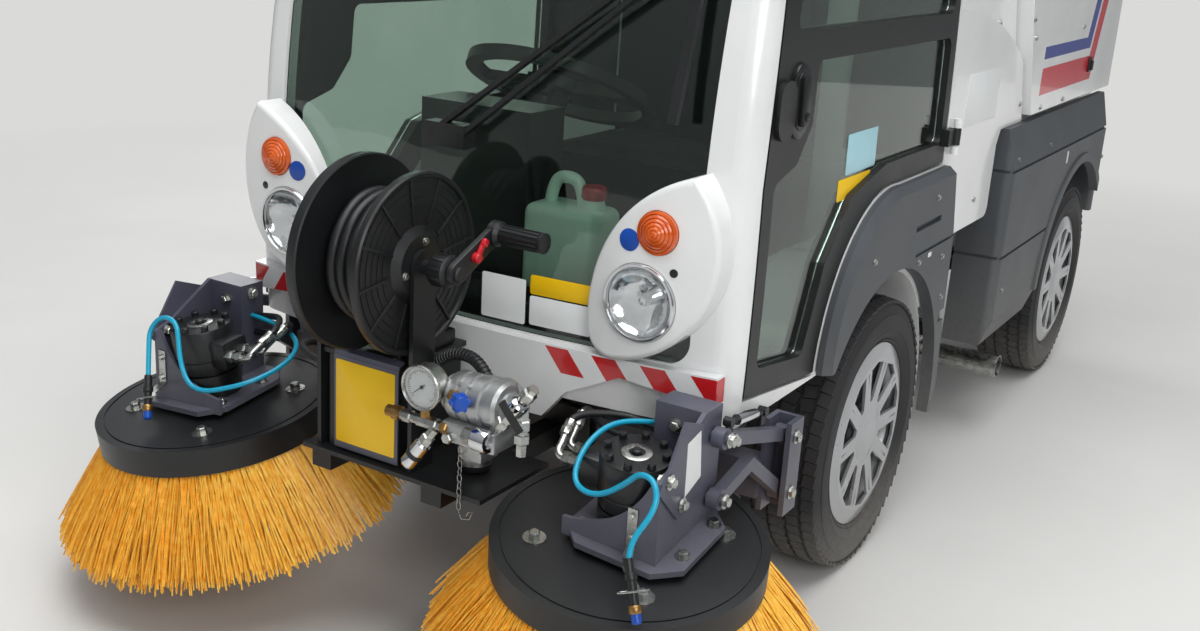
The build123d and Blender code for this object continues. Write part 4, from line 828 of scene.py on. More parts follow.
def woundHose():
    # Three layers of hose on the drum, its turns a little uneven
    random.seed(5)
    bm = bmesh.new()
    middle = at(0, reel["ahead"], reel["height"])
    for radius, shift, turns in reel["layers"]:
        points = []
        first = reel["right"] + reel["inset"] + shift
        span = reel["left"] - reel["right"] - 2 * reel["inset"] - 2 * shift
        steps = int(turns * 16)
        for i in range(steps + 1):
            a = 2 * math.pi * i / 16
            x = first + span * i / steps + random.uniform(-1, 1) * reel["waver"]
            r = radius + random.uniform(-1, 0.4) * reel["sag"]
            points.append(middle + Vector((x, *onCircle(r, a))))
        pipe(bm, points, reel["hose"])
    settle("hoseTurns", bm, "reel", "hose_rubber", replaces=("wound_hose",), sharp=60)


woundHose()


def reelTrim():
    # Screws in the hub, the ribbed grip with its collar, and the red latch on the crank
    middle = at(0, reel["ahead"], reel["height"])
    left = Vector((1, 0, 0))
    spots = []
    for i in range(3):
        a = math.radians(75 + 120 * i)
        spots.append((middle + Vector((reel["left"] + 0.012, *onCircle(0.040, a))), left))
    fasten("hubScrews", "reel", spots, Sides=12, Radius=0.0055, Height=0.004, Washer=0.007, Thick=0.0012)
    turn = math.radians(reel["crankTurn"])
    arm = Vector((0, math.sin(turn), math.cos(turn)))
    knob = middle + arm * reel["crank"]
    bm = bmesh.new()
    turned(bm, reel["grip"], facing(knob, left), steps=28)
    for i in range(14):
        brokenBlock(bm, (-0.0012, 0.0150, 0.158), (0.0012, 0.0172, 0.231),
                    spun(facing(knob, left), 360 * i / 14), 0.0005)
    turned(bm, reel["hub"], facing(middle, left), steps=28)
    for i in range(10):
        brokenBlock(bm, (-0.002, 0.0255, 0.105), (0.002, 0.0280, 0.127), spun(facing(middle, left), 36 * i),
                    0.0006)
    settle("crankGrip", bm, "reel", "black_plastic")
    bm = bmesh.new()
    latch = middle + arm * 0.046 + Vector((0.1465, 0, 0))
    place = framed(latch, arm, arm.cross(left), left)
    turned(bm, reel["latchPivot"], place, steps=16)
    brokenBlock(bm, (0.0, -0.0045, 0.001), (0.030, 0.0045, 0.008), spun(place, reel["latchTurn"]), 0.0018)
    brokenBlock(bm, (0.022, -0.0060, 0.002), (0.034, 0.0060, 0.011), spun(place, reel["latchTurn"]), 0.0022)
    settle("crankLatch", bm, "reel", "black_plastic", mats["redPlastic"])


reelTrim()
print("hose reel ready")

lamps = {
    "headX": 0.382,
    "headZ": 0.710,
    "signalX": 0.408,
    "signalZ": 0.830,
    "face": -0.741,
    "ring": mm((65.5, -32), (65.5, 1), (63.5, 4), (60, 4), (57.5, 0), (57, -6), (60, -32), (65.5, -32)),
    "bowl": mm((57.2, -5), (54, -10), (46, -18), (34, -25), (20, -30), (9, -31.5), (9, -18), (6.5, -12),
               (0, -10)),
    "cover": mm((0, 11), (20, 10), (38, 6.5), (50, 2.5), (57.3, -1.5), (57.3, -4), (50, 0.2), (38, 4),
                (20, 7.6), (0, 8.5)),
}


def lampPieces():
    # Reflector bowls in chrome rings, clear covers, and ribbed amber domes
    rings, bowls, covers, domes = (bmesh.new() for _ in range(4))
    for side in (1, -1):
        place = facing(at(side * lamps["headX"], lamps["face"], lamps["headZ"]), (0, -1, 0))
        turned(rings, lamps["ring"], place, steps=48)
        turned(bowls, lamps["bowl"], place, steps=48)
        turned(covers, lamps["cover"], place, steps=48)
        place = facing(at(side * lamps["signalX"], lamps["face"], lamps["signalZ"]), (0, -1, 0))
        profile = [(0, -0.018), (0.0355, -0.018), (0.0355, 0.004)]
        for ring in range(6):  # a fresnel rib every few millimetres
            r = 0.0355 - 0.0058 * ring
            h = 0.004 + 0.011 * math.cos(math.pi / 2 * r / 0.0355)
            profile += [(r, h), (r - 0.0042, h + 0.0022), (r - 0.0052, h + 0.0004)]
        turned(domes, profile + [(0, 0.0150)], place, steps=40)
    settle("headlampRings", rings, "chassis", "lamp_reflector", mats["chrome"], replaces=("headlamps",))
    settle("headlampBowls", bowls, "chassis", "lamp_reflector", sharp=50)
    settle("headlampCovers", covers, "chassis", "tinted_glass", mats["clear_lens"], sharp=50)
    settle("signalDomes", domes, "chassis", "amber_lens", replaces=("turn_signals",), sharp=50)


lampPieces()
print("lamps ready")

motor = {  # along its own axis, up from the disc
    "boltCircle": 0.047,
    "top": 0.162,
    "port": 0.085,
    "portHeight": 0.115,
    "cap": mm((44, 72), (55, 76), (56.8, 82), (56.8, 100), (54.5, 101.5), (54.5, 103.5), (57.2, 105),
              (57.2, 157), (55.5, 161), (50, 162), (0, 162)),
    "ring": mm((12.5, 161.2), (24.5, 161.2), (24.5, 163.4), (23.2, 164.2), (13.5, 164.2), (12.5, 163.4),
               (12.5, 161.2)),
    "plug": mm((0, 161), (8.5, 161), (8.5, 168), (6, 170), (0, 170)),
    "portNut": mm((0, -4), (12.5, -4), (12.5, 8), (11, 10), (0, 10)),
    "portStub": mm((0, 9), (9.5, 9), (9.5, 22), (12, 23), (12, 34), (0, 34)),
}


def motorTrim(side, word):
    # Cap with its bolts, blank ring and plug, and the two steel ports
    carrier = "carrier_" + word
    place = brushFrame(side)
    bm = bmesh.new()
    turned(bm, motor["cap"], place, steps=56)
    brokenBlock(bm, (-0.085, -0.030, 0.088), (-0.040, 0.030, 0.142),
                place @ Matrix.Scale(side, 4, (1, 0, 0)), 0.006)
    settle("motorCap_" + word, bm, carrier, "cast_black")
    spots = ringSpots(place, motor["boltCircle"], motor["top"], 8, 13.5)
    fasten("capBolts_" + word, carrier, spots, "cast_black", Sides=8, Radius=0.0068, Height=0.008,
           Washer=0.0072, Thick=0.001)
    settle("capRing_" + word, turnedShape(motor["ring"], place, 40), carrier, "steel")
    settle("capPlug_" + word, turnedShape(motor["plug"], place, 8), carrier, "cast_black")
    bm = bmesh.new()
    for low in (-0.017, 0.017):
        port = place @ Vector((-side * motor["port"], low, motor["portHeight"]))
        out = place.to_3x3() @ Vector((-side, 0, 0))
        hexPlace = facing(port, out)
        turned(bm, motor["portNut"], hexPlace, steps=6)
        turned(bm, motor["portStub"], hexPlace, steps=6)
    settle("motorPorts_" + word, bm, carrier, "steel", sharp=30)


for side, word in sides:
    motorTrim(side, word)
print("brush motors ready")


squareCorners = ((-1, -1), (1, -1), (1, 1), (-1, 1))


def strap(bm, points, across, thick):
    # A flat strip bent along points; across is half of its width
    rings = []
    for i, point in enumerate(points):
        before, after = points[max(i - 1, 0)], points[min(i + 1, len(points) - 1)]
        rise = (after - before).normalized().cross(across).normalized() * thick / 2
        rings.append([bm.verts.new(point + a * across + b * rise) for a, b in squareCorners])
    skinOver(bm, rings)


waterHose = {  # sprinkler hose from the post behind each motor, round in front of it and down to its nozzle
    "diameter": 0.009,
    "length": {"left": 0.525, "right": 0.70},
    "left": ((0.455, -0.764, 0.530), (0.430, -0.790, 0.536), (0.403, -0.830, 0.538), (0.392, -0.872, 0.526),
             (0.390, -0.908, 0.502), (0.398, -0.934, 0.476), (0.428, -0.950, 0.468), (0.466, -0.956, 0.478),
             (0.503, -0.958, 0.508), (0.528, -0.962, 0.534), (0.560, -0.972, 0.532), (0.574, -0.990, 0.500)),
    "right": ((-0.455, -0.764, 0.515), (-0.405, -0.764, 0.513), (-0.352, -0.770, 0.507),
              (-0.308, -0.792, 0.497), (-0.286, -0.832, 0.484), (-0.286, -0.880, 0.470),
              (-0.306, -0.925, 0.456), (-0.340, -0.950, 0.444), (-0.376, -0.963, 0.434),
              (-0.408, -0.968, 0.441), (-0.434, -0.961, 0.472), (-0.453, -0.948, 0.511),
              (-0.466, -0.939, 0.536), (-0.493, -0.936, 0.544), (-0.518, -0.940, 0.534),
              (-0.529, -0.949, 0.510), (-0.520, -0.959, 0.486)),
    "top": {"left": (0.092, -0.167, 0.090), "right": (-0.030, -0.118, 0.085)},
    "tip": {"left": (0.128, -0.197, 0.026), "right": (-0.012, -0.150, 0.028)},
    "strip": {"left": ((0.502, -0.9268, 0.455), (0.502, -0.9268, 0.398), (0.528, -0.985, 0.392)),
              "right": ((-0.523, -0.9268, 0.469), (-0.523, -0.9268, 0.404), (-0.512, -0.962, 0.399))},
}


def waterLine(side, word):
    # One sprinkler hose with the nozzle at its end and the strip that holds it
    carrier = "carrier_" + word
    diameter = waterHose["diameter"]
    top, tip = (brushFrame(side) @ Vector(waterHose[end][word]) for end in ("top", "tip"))
    down = (tip - top).normalized()
    places = path(waterHose[word]) + [top - down * 0.030, top]
    hose = smoothLine("waterHose_" + word, places, diameter, 4, 8)
    hose.data.materials.append(mats["cyanHose"])
    scene.collection.objects.link(hose)
    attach(hose, carrier)
    # The nozzle: a black body in a wing-shaped wire ring, a brass collar and a blue jet
    long = (tip - top).length
    place = facing(top, down)
    black, brass, blue, steel = (bmesh.new() for _ in range(4))
    turned(black, [(0, -0.014), (0.0066, -0.014), (0.0072, -0.011), (0.0072, 0.006), (0.0095, 0.008),
                   (0.0095, 0.016), (0.0072, 0.018), (0.0072, long - 0.026), (0, long - 0.026)], place,
           steps=16)
    turned(brass, [(0, long - 0.027), (0.0085, long - 0.027), (0.0098, long - 0.025), (0.0098, long - 0.017),
                   (0.0088, long - 0.015), (0, long - 0.015)], place, steps=12)
    turned(blue, [(0, long - 0.016), (0.0078, long - 0.016), (0.0078, long - 0.003), (0.0055, long),
                  (0, long)], place, steps=14)
    ring = top + down * long * 0.42
    wide = (Vector((1, 0, 0)) - down * down.x).normalized()
    deep = wide.cross(down)
    wing = [ring + wide * a + deep * b for a, b in ((-0.024, 0.004), (-0.012, 0.012), (0.012, 0.012),
                                                    (0.024, 0.004), (0.022, -0.004), (0.010, -0.008),
                                                    (-0.010, -0.008), (-0.022, -0.004), (-0.024, 0.004))]
    pipe(steel, wing, 0.0032, straight=True)
    strap(steel, [ring + deep * 0.0115, ring - deep * 0.0078], wide * 0.006, 0.0022)
    strip = path(waterHose["strip"][word])
    strap(steel, strip + [ring + deep * 0.011 * (1 if deep.y > 0 else -1)], Vector((0.0085, 0, 0)), 0.0022)
    nozzle = [settle("nozzleBody_" + word, black, carrier, "black_plastic"),
              settle("nozzleCollar_" + word, brass, carrier, "steel", mats["brass"]),
              settle("nozzleJet_" + word, blue, carrier, "black_plastic", mats["bluePlastic"]),
              settle("nozzleHolder_" + word, steel, carrier, "steel")]
    high, low = strip[0], strip[1]
    fasten("stripBolts_" + word, carrier,
           [(high.lerp(low, t) + Vector((0, -0.001, 0)), (0, -1, 0)) for t in (0.2, 0.8)],
           Radius=0.0048, Height=0.0045, Washer=0.0068, Thick=0.001)


for side, word in sides:
    waterLine(side, word)
print("water hoses and nozzles ready")

arm = {  # side brush carriers: pins, plate and bolts, for the left side, from the front axle
    "face": 0.5755,
    "frontPins": ((-0.765, 0.533), (-0.765, 0.429)),
    "rearPins": ((-0.520, 0.463), (-0.520, 0.359)),
    "plate": ((-0.932, 0.490), (-0.908, 0.528), (-0.868, 0.588), (-0.806, 0.566), (-0.797, 0.452),
              (-0.872, 0.430)),
    "blank": ((-0.858, 0.550), (-0.817, 0.559), (-0.806, 0.480), (-0.855, 0.462)),
    "plateBolts": ((-0.907, 0.505), (-0.862, 0.452)),
    "footBolts": ((0.104, -0.020), (0.104, 0.082), (-0.066, 0.062), (-0.064, -0.042)),
    "ramBarrel": mm((0, 28), (8.8, 28), (9.5, 30), (9.5, 96), (8.8, 99), (0, 99)),
    "ramRod": mm((0, 4), (4.2, 4), (4.2, 30), (0, 30)),
    "ramTail": mm((0, 98), (5.5, 98), (5.5, 126), (0, 126)),
    "ramPin": mm((0, -7.5), (8, -7.5), (8, 7.5), (0, 7.5)),
    "hoseNut": mm((0, -2), (10.5, -2), (10.5, 10), (9.2, 12), (9.2, 26), (0, 26)),
}


def armTrim(side, word):
    # Plate, bolts, small ram and motor hoses on one side brush's carrier
    carrier = "carrier_" + word
    out = Vector((side, 0, 0))
    # Local X runs to the rear and local Y upwards, so that an outline reads as (behind, height)
    flat = Matrix(((0, 0, side, 0), (1, 0, 0, frontAxle), (0, 1, 0, 0), (0, 0, 0, 1)))
    bm = bmesh.new()
    platePrism(bm, arm["plate"], 0.0045, flat @ Matrix.Translation((0, 0, 0.5492)), 0.001)
    settle("armPlate_" + word, bm, carrier, "grey_steel")
    bm = bmesh.new()
    platePrism(bm, arm["blank"], 0.0008, flat @ Matrix.Translation((0, 0, 0.5500)))
    settle("armBlank_" + word, bm, carrier, "white_paint", mats["whitePlate"])
    spots = [(at(side * 0.5495, *p), out) for p in arm["plateBolts"]]
    spots += [(at(side * arm["face"], *p), out) for p in arm["frontPins"]]
    spots += [(at(side * 0.494, -0.7922, 0.545), Vector((0, -1, 0))),
              (at(side * 0.4548, -0.764, 0.560), -out), (at(side * 0.5358, -0.900, 0.500), -out)]
    up = brushFrame(side).to_3x3() @ Vector((0, 0, 1))
    spots += [(brushFrame(side) @ Vector((side * u, v, 0.0262)), up) for u, v in arm["footBolts"]]
    fasten("armBolts_" + word, carrier, spots, Radius=0.0088, Height=0.0080, Washer=0.0125, Thick=0.0018)
    fasten("rearPinBolts_" + word, "chassis", [(at(side * 0.5865, *p), out) for p in arm["rearPins"]],
           Radius=0.0088, Height=0.0075, Washer=0.0125, Thick=0.0018)
    fasten("linkBolt_" + word, "upper_link_" + word, [(at(side * 0.5705, -0.738, 0.5225), out)],
           Radius=0.0085, Height=0.0080, Washer=0.0115, Thick=0.0015)
    # The small ram above the upper link, between two lugs
    bm = bmesh.new()
    front, rear = at(side * 0.560, -0.742, 0.553), at(side * 0.560, -0.612, 0.532)
    along = (rear - front).normalized()
    turned(bm, arm["ramBarrel"], facing(front, along), steps=20)
    settle("ramBarrel_" + word, bm, "upper_link_" + word, "steel", mats["chrome"])
    bm = bmesh.new()
    turned(bm, arm["ramRod"], facing(front, along), steps=12)
    turned(bm, arm["ramTail"], facing(front, along), steps=12)
    for spot in (front, rear):
        turned(bm, arm["ramPin"], facing(spot, out), steps=16)
    for spot, foot in ((front, at(side * 0.560, -0.738, 0.530)), (rear, at(side * 0.560, -0.612, 0.508))):
        strap(bm, [spot, foot], Vector((0, 0.009, 0)), 0.005)
    settle("ramLugs_" + word, bm, "upper_link_" + word, "grey_steel", mats["black_paint"])
    # Pressure and return hoses from the motor's elbows back to the post
    tubes, rubber = bmesh.new(), bmesh.new()
    for low, high, shift in ((-0.017, 0.512, 0.0), (0.017, 0.478, 0.018)):
        port = brushFrame(side) @ Vector((-side * 0.118, low, 0.115))
        inward = brushFrame(side).to_3x3() @ Vector((-side, 0, 0))
        bend = port + inward * 0.016 + Vector((0, 0.004, 0.006))
        end = bend + Vector((-side * 0.004, 0.026, 0.018))
        pipe(tubes, [port, port + inward * 0.010, bend, bend + Vector((0, 0.010, 0.007)), end], 0.013,
             sides=4)
        turned(tubes, arm["hoseNut"], facing(end, end - bend), steps=8)
        tail = end + (end - bend).normalized() * 0.024
        pipe(rubber, [tail, tail + (end - bend).normalized() * 0.018,
                      at(side * (0.372 - shift), -0.772, high + 0.016),
                      at(side * 0.405, -0.757, high + 0.010), at(side * 0.456, -0.755, high)], 0.0125,
             sides=4)
    settle("motorElbows_" + word, tubes, carrier, "steel", sharp=40)
    settle("motorHoses_" + word, rubber, carrier, "hose_rubber", sharp=60)


for side, word in sides:
    armTrim(side, word)
print("brush arms ready")

pump = {  # profiles are (radius, along) pairs in millimetres
    "blocks": (((0.184, -0.990, 0.500), (0.288, -0.915, 0.536), 0.006),
               ((0.192, -0.925, 0.515), (0.262, -0.886, 0.590), 0.010),
               ((0.182, -0.940, 0.452), (0.228, -0.890, 0.505), 0.005)),
    "webs": 6,
    "plugs": (0.200, 0.262),
    "lever": ((-0.012, -0.0235, 0.014), (0.0, -0.024, 0.0), (0.026, -0.026, -0.026)),
    "x": 0.172,
    "ahead": -0.950,
    "height": 0.568,
    "housing": mm((0, 0), (26, 0), (30, 3), (30, 10), (36, 13), (40, 20), (40, 33), (37, 35), (37, 39),
                  (40, 41), (40, 53), (37, 55), (37, 59), (40, 61), (40, 78), (36, 81), (36, 87), (39, 89),
                  (39, 104), (35, 110), (26, 112), (26, 117), (21, 121), (0, 121)),
    "endCover": mm((0, 0), (34, 0), (34, 26), (30, 28), (0, 28)),
    "cartridgeNut": mm((0, 0), (14.5, 0), (14.5, 20), (12, 22), (0, 22)),
    "cartridgeCap": mm((0, 20), (16.5, 20), (18.5, 23), (18.5, 46), (16.5, 50), (10, 50), (8.5, 46),
                       (0, 46)),
    "valvePlug": mm((0, -2), (9.5, -2), (9.5, 6), (8, 8), (0, 8)),
    "unionNut": mm((0, -14), (10, -14), (10, 4), (13, 4), (13, 14), (10.5, 16), (10.5, 22), (13.5, 22),
                   (13.5, 34), (10, 36), (0, 36)),
    "unionRing": mm((0, 34), (12, 34), (15.5, 38), (15.5, 58), (12, 62), (9.5, 63), (9.5, 74), (0, 74)),
    "unionEnd": mm((0, 72), (12.5, 72), (12.5, 86), (9.5, 89), (9.5, 96), (0, 96)),
    "leverStem": mm((0, 10), (5.5, 10), (5.5, 24), (0, 24)),
    "dropLeg": mm((0, 0), (10.5, 0), (10.5, 30), (13, 32), (13, 46), (10, 48), (10, 54), (13, 55), (13, 68),
                  (9, 71), (8.5, 90), (0, 90)),
    "feedUnion": mm((0, 0), (10, 0), (10, 12), (12.5, 13), (12.5, 26), (9, 28), (0, 28)),
    "feedNuts": mm((0, 26), (8.5, 26), (8.5, 34), (11, 35), (11, 48), (8.5, 50), (8.5, 62), (10.5, 63),
                   (10.5, 100), (8.5, 102), (8.5, 112), (0, 112)),
    "feedTee": mm((0, 110), (10.5, 110), (10.5, 120), (8.5, 122), (0, 122)),
    "teePlug": mm((0, 0), (8, 0), (8, 18), (0, 18)),
    "quickNut": mm((0, 4), (8.5, 4), (8.5, 20), (11.5, 22), (11.5, 36), (9, 38), (0, 38)),
    "quickBody": mm((0, 36), (11, 36), (13.5, 39), (13.5, 60), (12, 62), (0, 62)),
    "quickSeal": mm((0, 60), (14.5, 60), (14.5, 68), (0, 68)),
    "quickSleeve": mm((0, 66), (12, 66), (13, 69), (13, 86), (10.5, 90), (7, 90), (6, 84), (0, 84)),
    "knobNut": mm((0, -6), (11, -6), (11, 10), (7.5, 12), (7.5, 20), (0, 20)),
    "knob": mm((0, 16), (10, 16), (12.5, 19), (12.5, 36), (11, 39), (0, 40)),
}


def pumpPieces():
    # Cast housing with machined rings about its own axis, a valve block below, and its fittings
    left, front = Vector((1, 0, 0)), Vector((0, -1, 0))
    cast, steel, chrome, brass, black = (bmesh.new() for _ in range(5))
    axis = facing(at(pump["x"], pump["ahead"], pump["height"]), left)
    turned(cast, pump["housing"], axis, steps=56)
    turned(cast, pump["endCover"], facing(at(0.225, -0.890, 0.545), -front), steps=40)
    for low, high, edge in pump["blocks"]:
        brokenBlock(cast, at(*low), at(*high), edge=edge)
    for i in range(pump["webs"]):  # lengthwise, between the rings
        turn = spun(axis, 360 * i / pump["webs"] + 12)
        brokenBlock(cast, (0.0330, -0.0035, 0.022), (0.0398, 0.0035, 0.076), turn, 0.001)
    settle("pumpHousing", cast, "chassis", "pump_metal", replaces=("pressure_pump",), sharp=30)
    # Valve cartridge, plugs and the union towards the ball valve
    cartridge = facing(at(0.232, -0.988, 0.522), (1, -0.12, 0.03))
    turned(steel, pump["cartridgeNut"], cartridge, steps=6)
    turned(chrome, pump["cartridgeCap"], cartridge, steps=28)
    for x in pump["plugs"]:
        turned(steel, pump["valvePlug"], facing(at(x, -0.990, 0.509), front), steps=6)
    union = facing(at(0.284, -0.972, 0.545), (0.62, 0, 0.78))
    turned(steel, pump["unionNut"], union, steps=6)
    turned(chrome, pump["unionRing"], union, steps=24)
    turned(steel, pump["unionEnd"], union, steps=6)
    valve = union @ Vector((0, 0, 0.048))
    turned(steel, pump["leverStem"], facing(valve, front), steps=12)
    strap(black, [valve + Vector(bend) for bend in pump["lever"]], Vector((0.0045, 0, 0.0045)), 0.004)
    # Drop leg beside the valve
    leg = facing(at(0.316, -0.958, 0.590), (0, 0, -1))
    turned(steel, pump["dropLeg"], leg, steps=6)
    strap(steel, [at(0.300, -0.958, 0.584), at(0.316, -0.958, 0.584)], Vector((0, 0.009, 0)), 0.014)
    # The gauge's feed line: brass union, nuts, a tee with a plug
    feed = facing(at(0.074, -0.985, 0.522), left)
    turned(brass, pump["feedUnion"], feed, steps=8)
    turned(steel, pump["feedNuts"], feed, steps=8)
    turned(brass, pump["feedTee"], feed, steps=6)
    turned(brass, pump["teePlug"], facing(at(0.150, -0.985, 0.528), (0, 0, 1)), steps=6)
    # Quick coupling, hanging from the tee
    quick = facing(at(0.176, -0.990, 0.520), (-0.56, -0.10, -0.82))
    turned(steel, pump["quickNut"], quick, steps=6)
    turned(chrome, pump["quickBody"], quick, steps=24)
    turned(black, pump["quickSeal"], quick, steps=20)
    turned(chrome, pump["quickSleeve"], quick, steps=24)
    # Knob on its nut, in front of the housing
    stem = facing(at(0.206, -0.986, 0.578), (0.82, -0.57, 0.02))
    turned(brass, pump["knobNut"], stem, steps=6)
    settle("pumpFittings", steel, "chassis", "steel", sharp=25)
    settle("pumpChrome", chrome, "chassis", "steel", mats["chrome"], sharp=30)
    settle("pumpBrass", brass, "chassis", "steel", mats["brass"], sharp=25)
    settle("valveLever", black, "chassis", "black_plastic")
    bm = bmesh.new()
    turned(bm, pump["knob"], stem, steps=24)
    for i in range(6):
        brokenBlock(bm, (0.0110, -0.0032, 0.019), (0.0155, 0.0032, 0.037), spun(stem, 60 * i), 0.0015)
    settle("pumpKnob", bm, "chassis", "black_plastic", mats["bluePlastic"])


pumpPieces()


gauge = {
    "place": (0.150, -0.997, 0.582),
    "ticks": 40,
    "tickRadius": 0.0285,
    "tickLong": (0.006, 0.0032),
    "sweep": 270,
    "needleTurn": 128,
    "case": mm((0, -31), (30, -31), (34.5, -27), (34.5, -4), (37.8, -2), (37.8, 3), (35.8, 5), (33.6, 3),
               (33.4, -1), (33.4, -3), (0, -3)),
    "dial": mm((0, -2.2), (33.4, -2.2)),
    "hub": mm((0, -1.8), (3.2, -1.8), (2.8, 0.4), (0, 0.6)),
    "cover": mm((0, 2.2), (33.5, 1.8), (33.5, 0.8), (0, 1.2)),
}


def gaugePieces():
    # Pressure gauge: steel case and ring, white dial with its ticks, a needle and a clear cover
    place = facing(at(*gauge["place"]), (0, -1, 0))
    marks = bmesh.new()
    for i in range(gauge["ticks"] + 1):  # every fifth tick is a long one
        radius, long = gauge["tickRadius"], gauge["tickLong"][i % 5 > 0]
        brokenBlock(marks, (-0.00035, radius - long, -0.0021), (0.00035, radius, -0.0018),
                    spun(place, gauge["sweep"] * (i / gauge["ticks"] - 0.5)), 0.0001)
    needle = spun(place, gauge["needleTurn"])
    platePrism(marks, ((-0.0011, -0.008), (0.0011, -0.008), (0.0003, 0.024), (-0.0003, 0.024)), 0.0006,
               needle @ Matrix.Translation((0, 0, -0.0004)))
    turned(marks, gauge["hub"], place, steps=16)
    settle("gaugeCase", turnedShape(gauge["case"], place, 48), "chassis", "steel", sharp=30)
    settle("gaugeDial", turnedShape(gauge["dial"], place, 48), "chassis", "white_paint", mats["dialPaper"])
    settle("gaugeMarks", marks, "chassis", "black_plastic")
    settle("gaugeCover", turnedShape(gauge["cover"], place, 40), "chassis", "tinted_glass",
           mats["clear_lens"])


gaugePieces()


def ribbedHose(bm, points, diameter, pitch):
    # A convoluted hose: rings of two sizes along a smooth line
    holder = smoothLine("path", points, 0, 0, 24)
    line = [v.co.copy() for v in bpy.data.meshes.new_from_object(holder).vertices]
    bpy.data.objects.remove(holder)
    rings, walked, wanted, step = [], 0.0, 0.0, 0
    for near, far in zip(line, line[1:]):
        long = (far - near).length
        while wanted <= walked + long:
            spot = near.lerp(far, (wanted - walked) / max(long, 1e-9))
            radius = diameter / 2 * (1.0, 1.0, 0.84, 0.84)[step % 4]
            place = facing(spot, far - near)
            rings.append([bm.verts.new(place @ Vector((*onCircle(radius, 2 * math.pi * i / 16), 0)))
                          for i in range(16)])
            wanted, step = wanted + pitch * (0.36 if step % 2 == 0 else 0.14), step + 1
        walked += long
    skinOver(bm, rings)


cabinet = {
    "lid": ((-0.117, -0.929, 0.562), (0.047, -0.744, 0.5725)),
    "lidBox": ((-0.036, -0.845, 0.571), (0.040, -0.765, 0.600)),
    "lidBolts": ((-0.072, -0.900, 0.5725), (0.021, -0.900, 0.5725)),
    "plate": ((-0.090, -0.9325, 0.398), (0.050, -0.9290, 0.566)),
    "plateTab": ((-0.020, -0.931, 0.562), (-0.020, -0.9285, 0.572), (-0.020, -0.916, 0.577)),
    "blank": (0.128, 0.148, 0.003),
    "hose": ((-0.150, -0.897, 0.529), (-0.182, -0.899, 0.534), (-0.216, -0.880, 0.540),
             (-0.222, -0.840, 0.535), (-0.196, -0.806, 0.520), (-0.150, -0.800, 0.505),
             (-0.111, -0.800, 0.500)),
    "feed": ((0.040, -0.862, 0.542), (0.066, -0.866, 0.556), (0.100, -0.872, 0.590), (0.140, -0.880, 0.606),
             (0.182, -0.888, 0.602), (0.205, -0.896, 0.580)),
    "filter": (0.150, -0.850, 0.393),
    "cockPlace": (-0.112, -0.862, 0.548),
    "cockHandle": ((-0.150, -0.862, 0.548), (-0.156, -0.864, 0.562), (-0.160, -0.864, 0.604)),
    "unionHeights": (0.529, 0.477),
    "union": mm((0, -2), (11, -2), (11, 6), (16.5, 8), (16.5, 28), (14, 31), (9, 32), (9, 40), (0, 40)),
    "filterBowl": mm((0, 0), (20, 0), (26, 4), (29.5, 14), (29.5, 64), (0, 64)),
    "filterBand": mm((28.5, 16), (31.5, 16), (31.5, 58), (28.5, 58), (28.5, 16)),
    "filterCap": mm((0, 60), (33.5, 60), (34.5, 64), (34.5, 78), (30, 82), (0, 82)),
    "cock": mm((0, -3), (10, -3), (10, 20), (7, 22), (7, 44), (0, 44)),
}


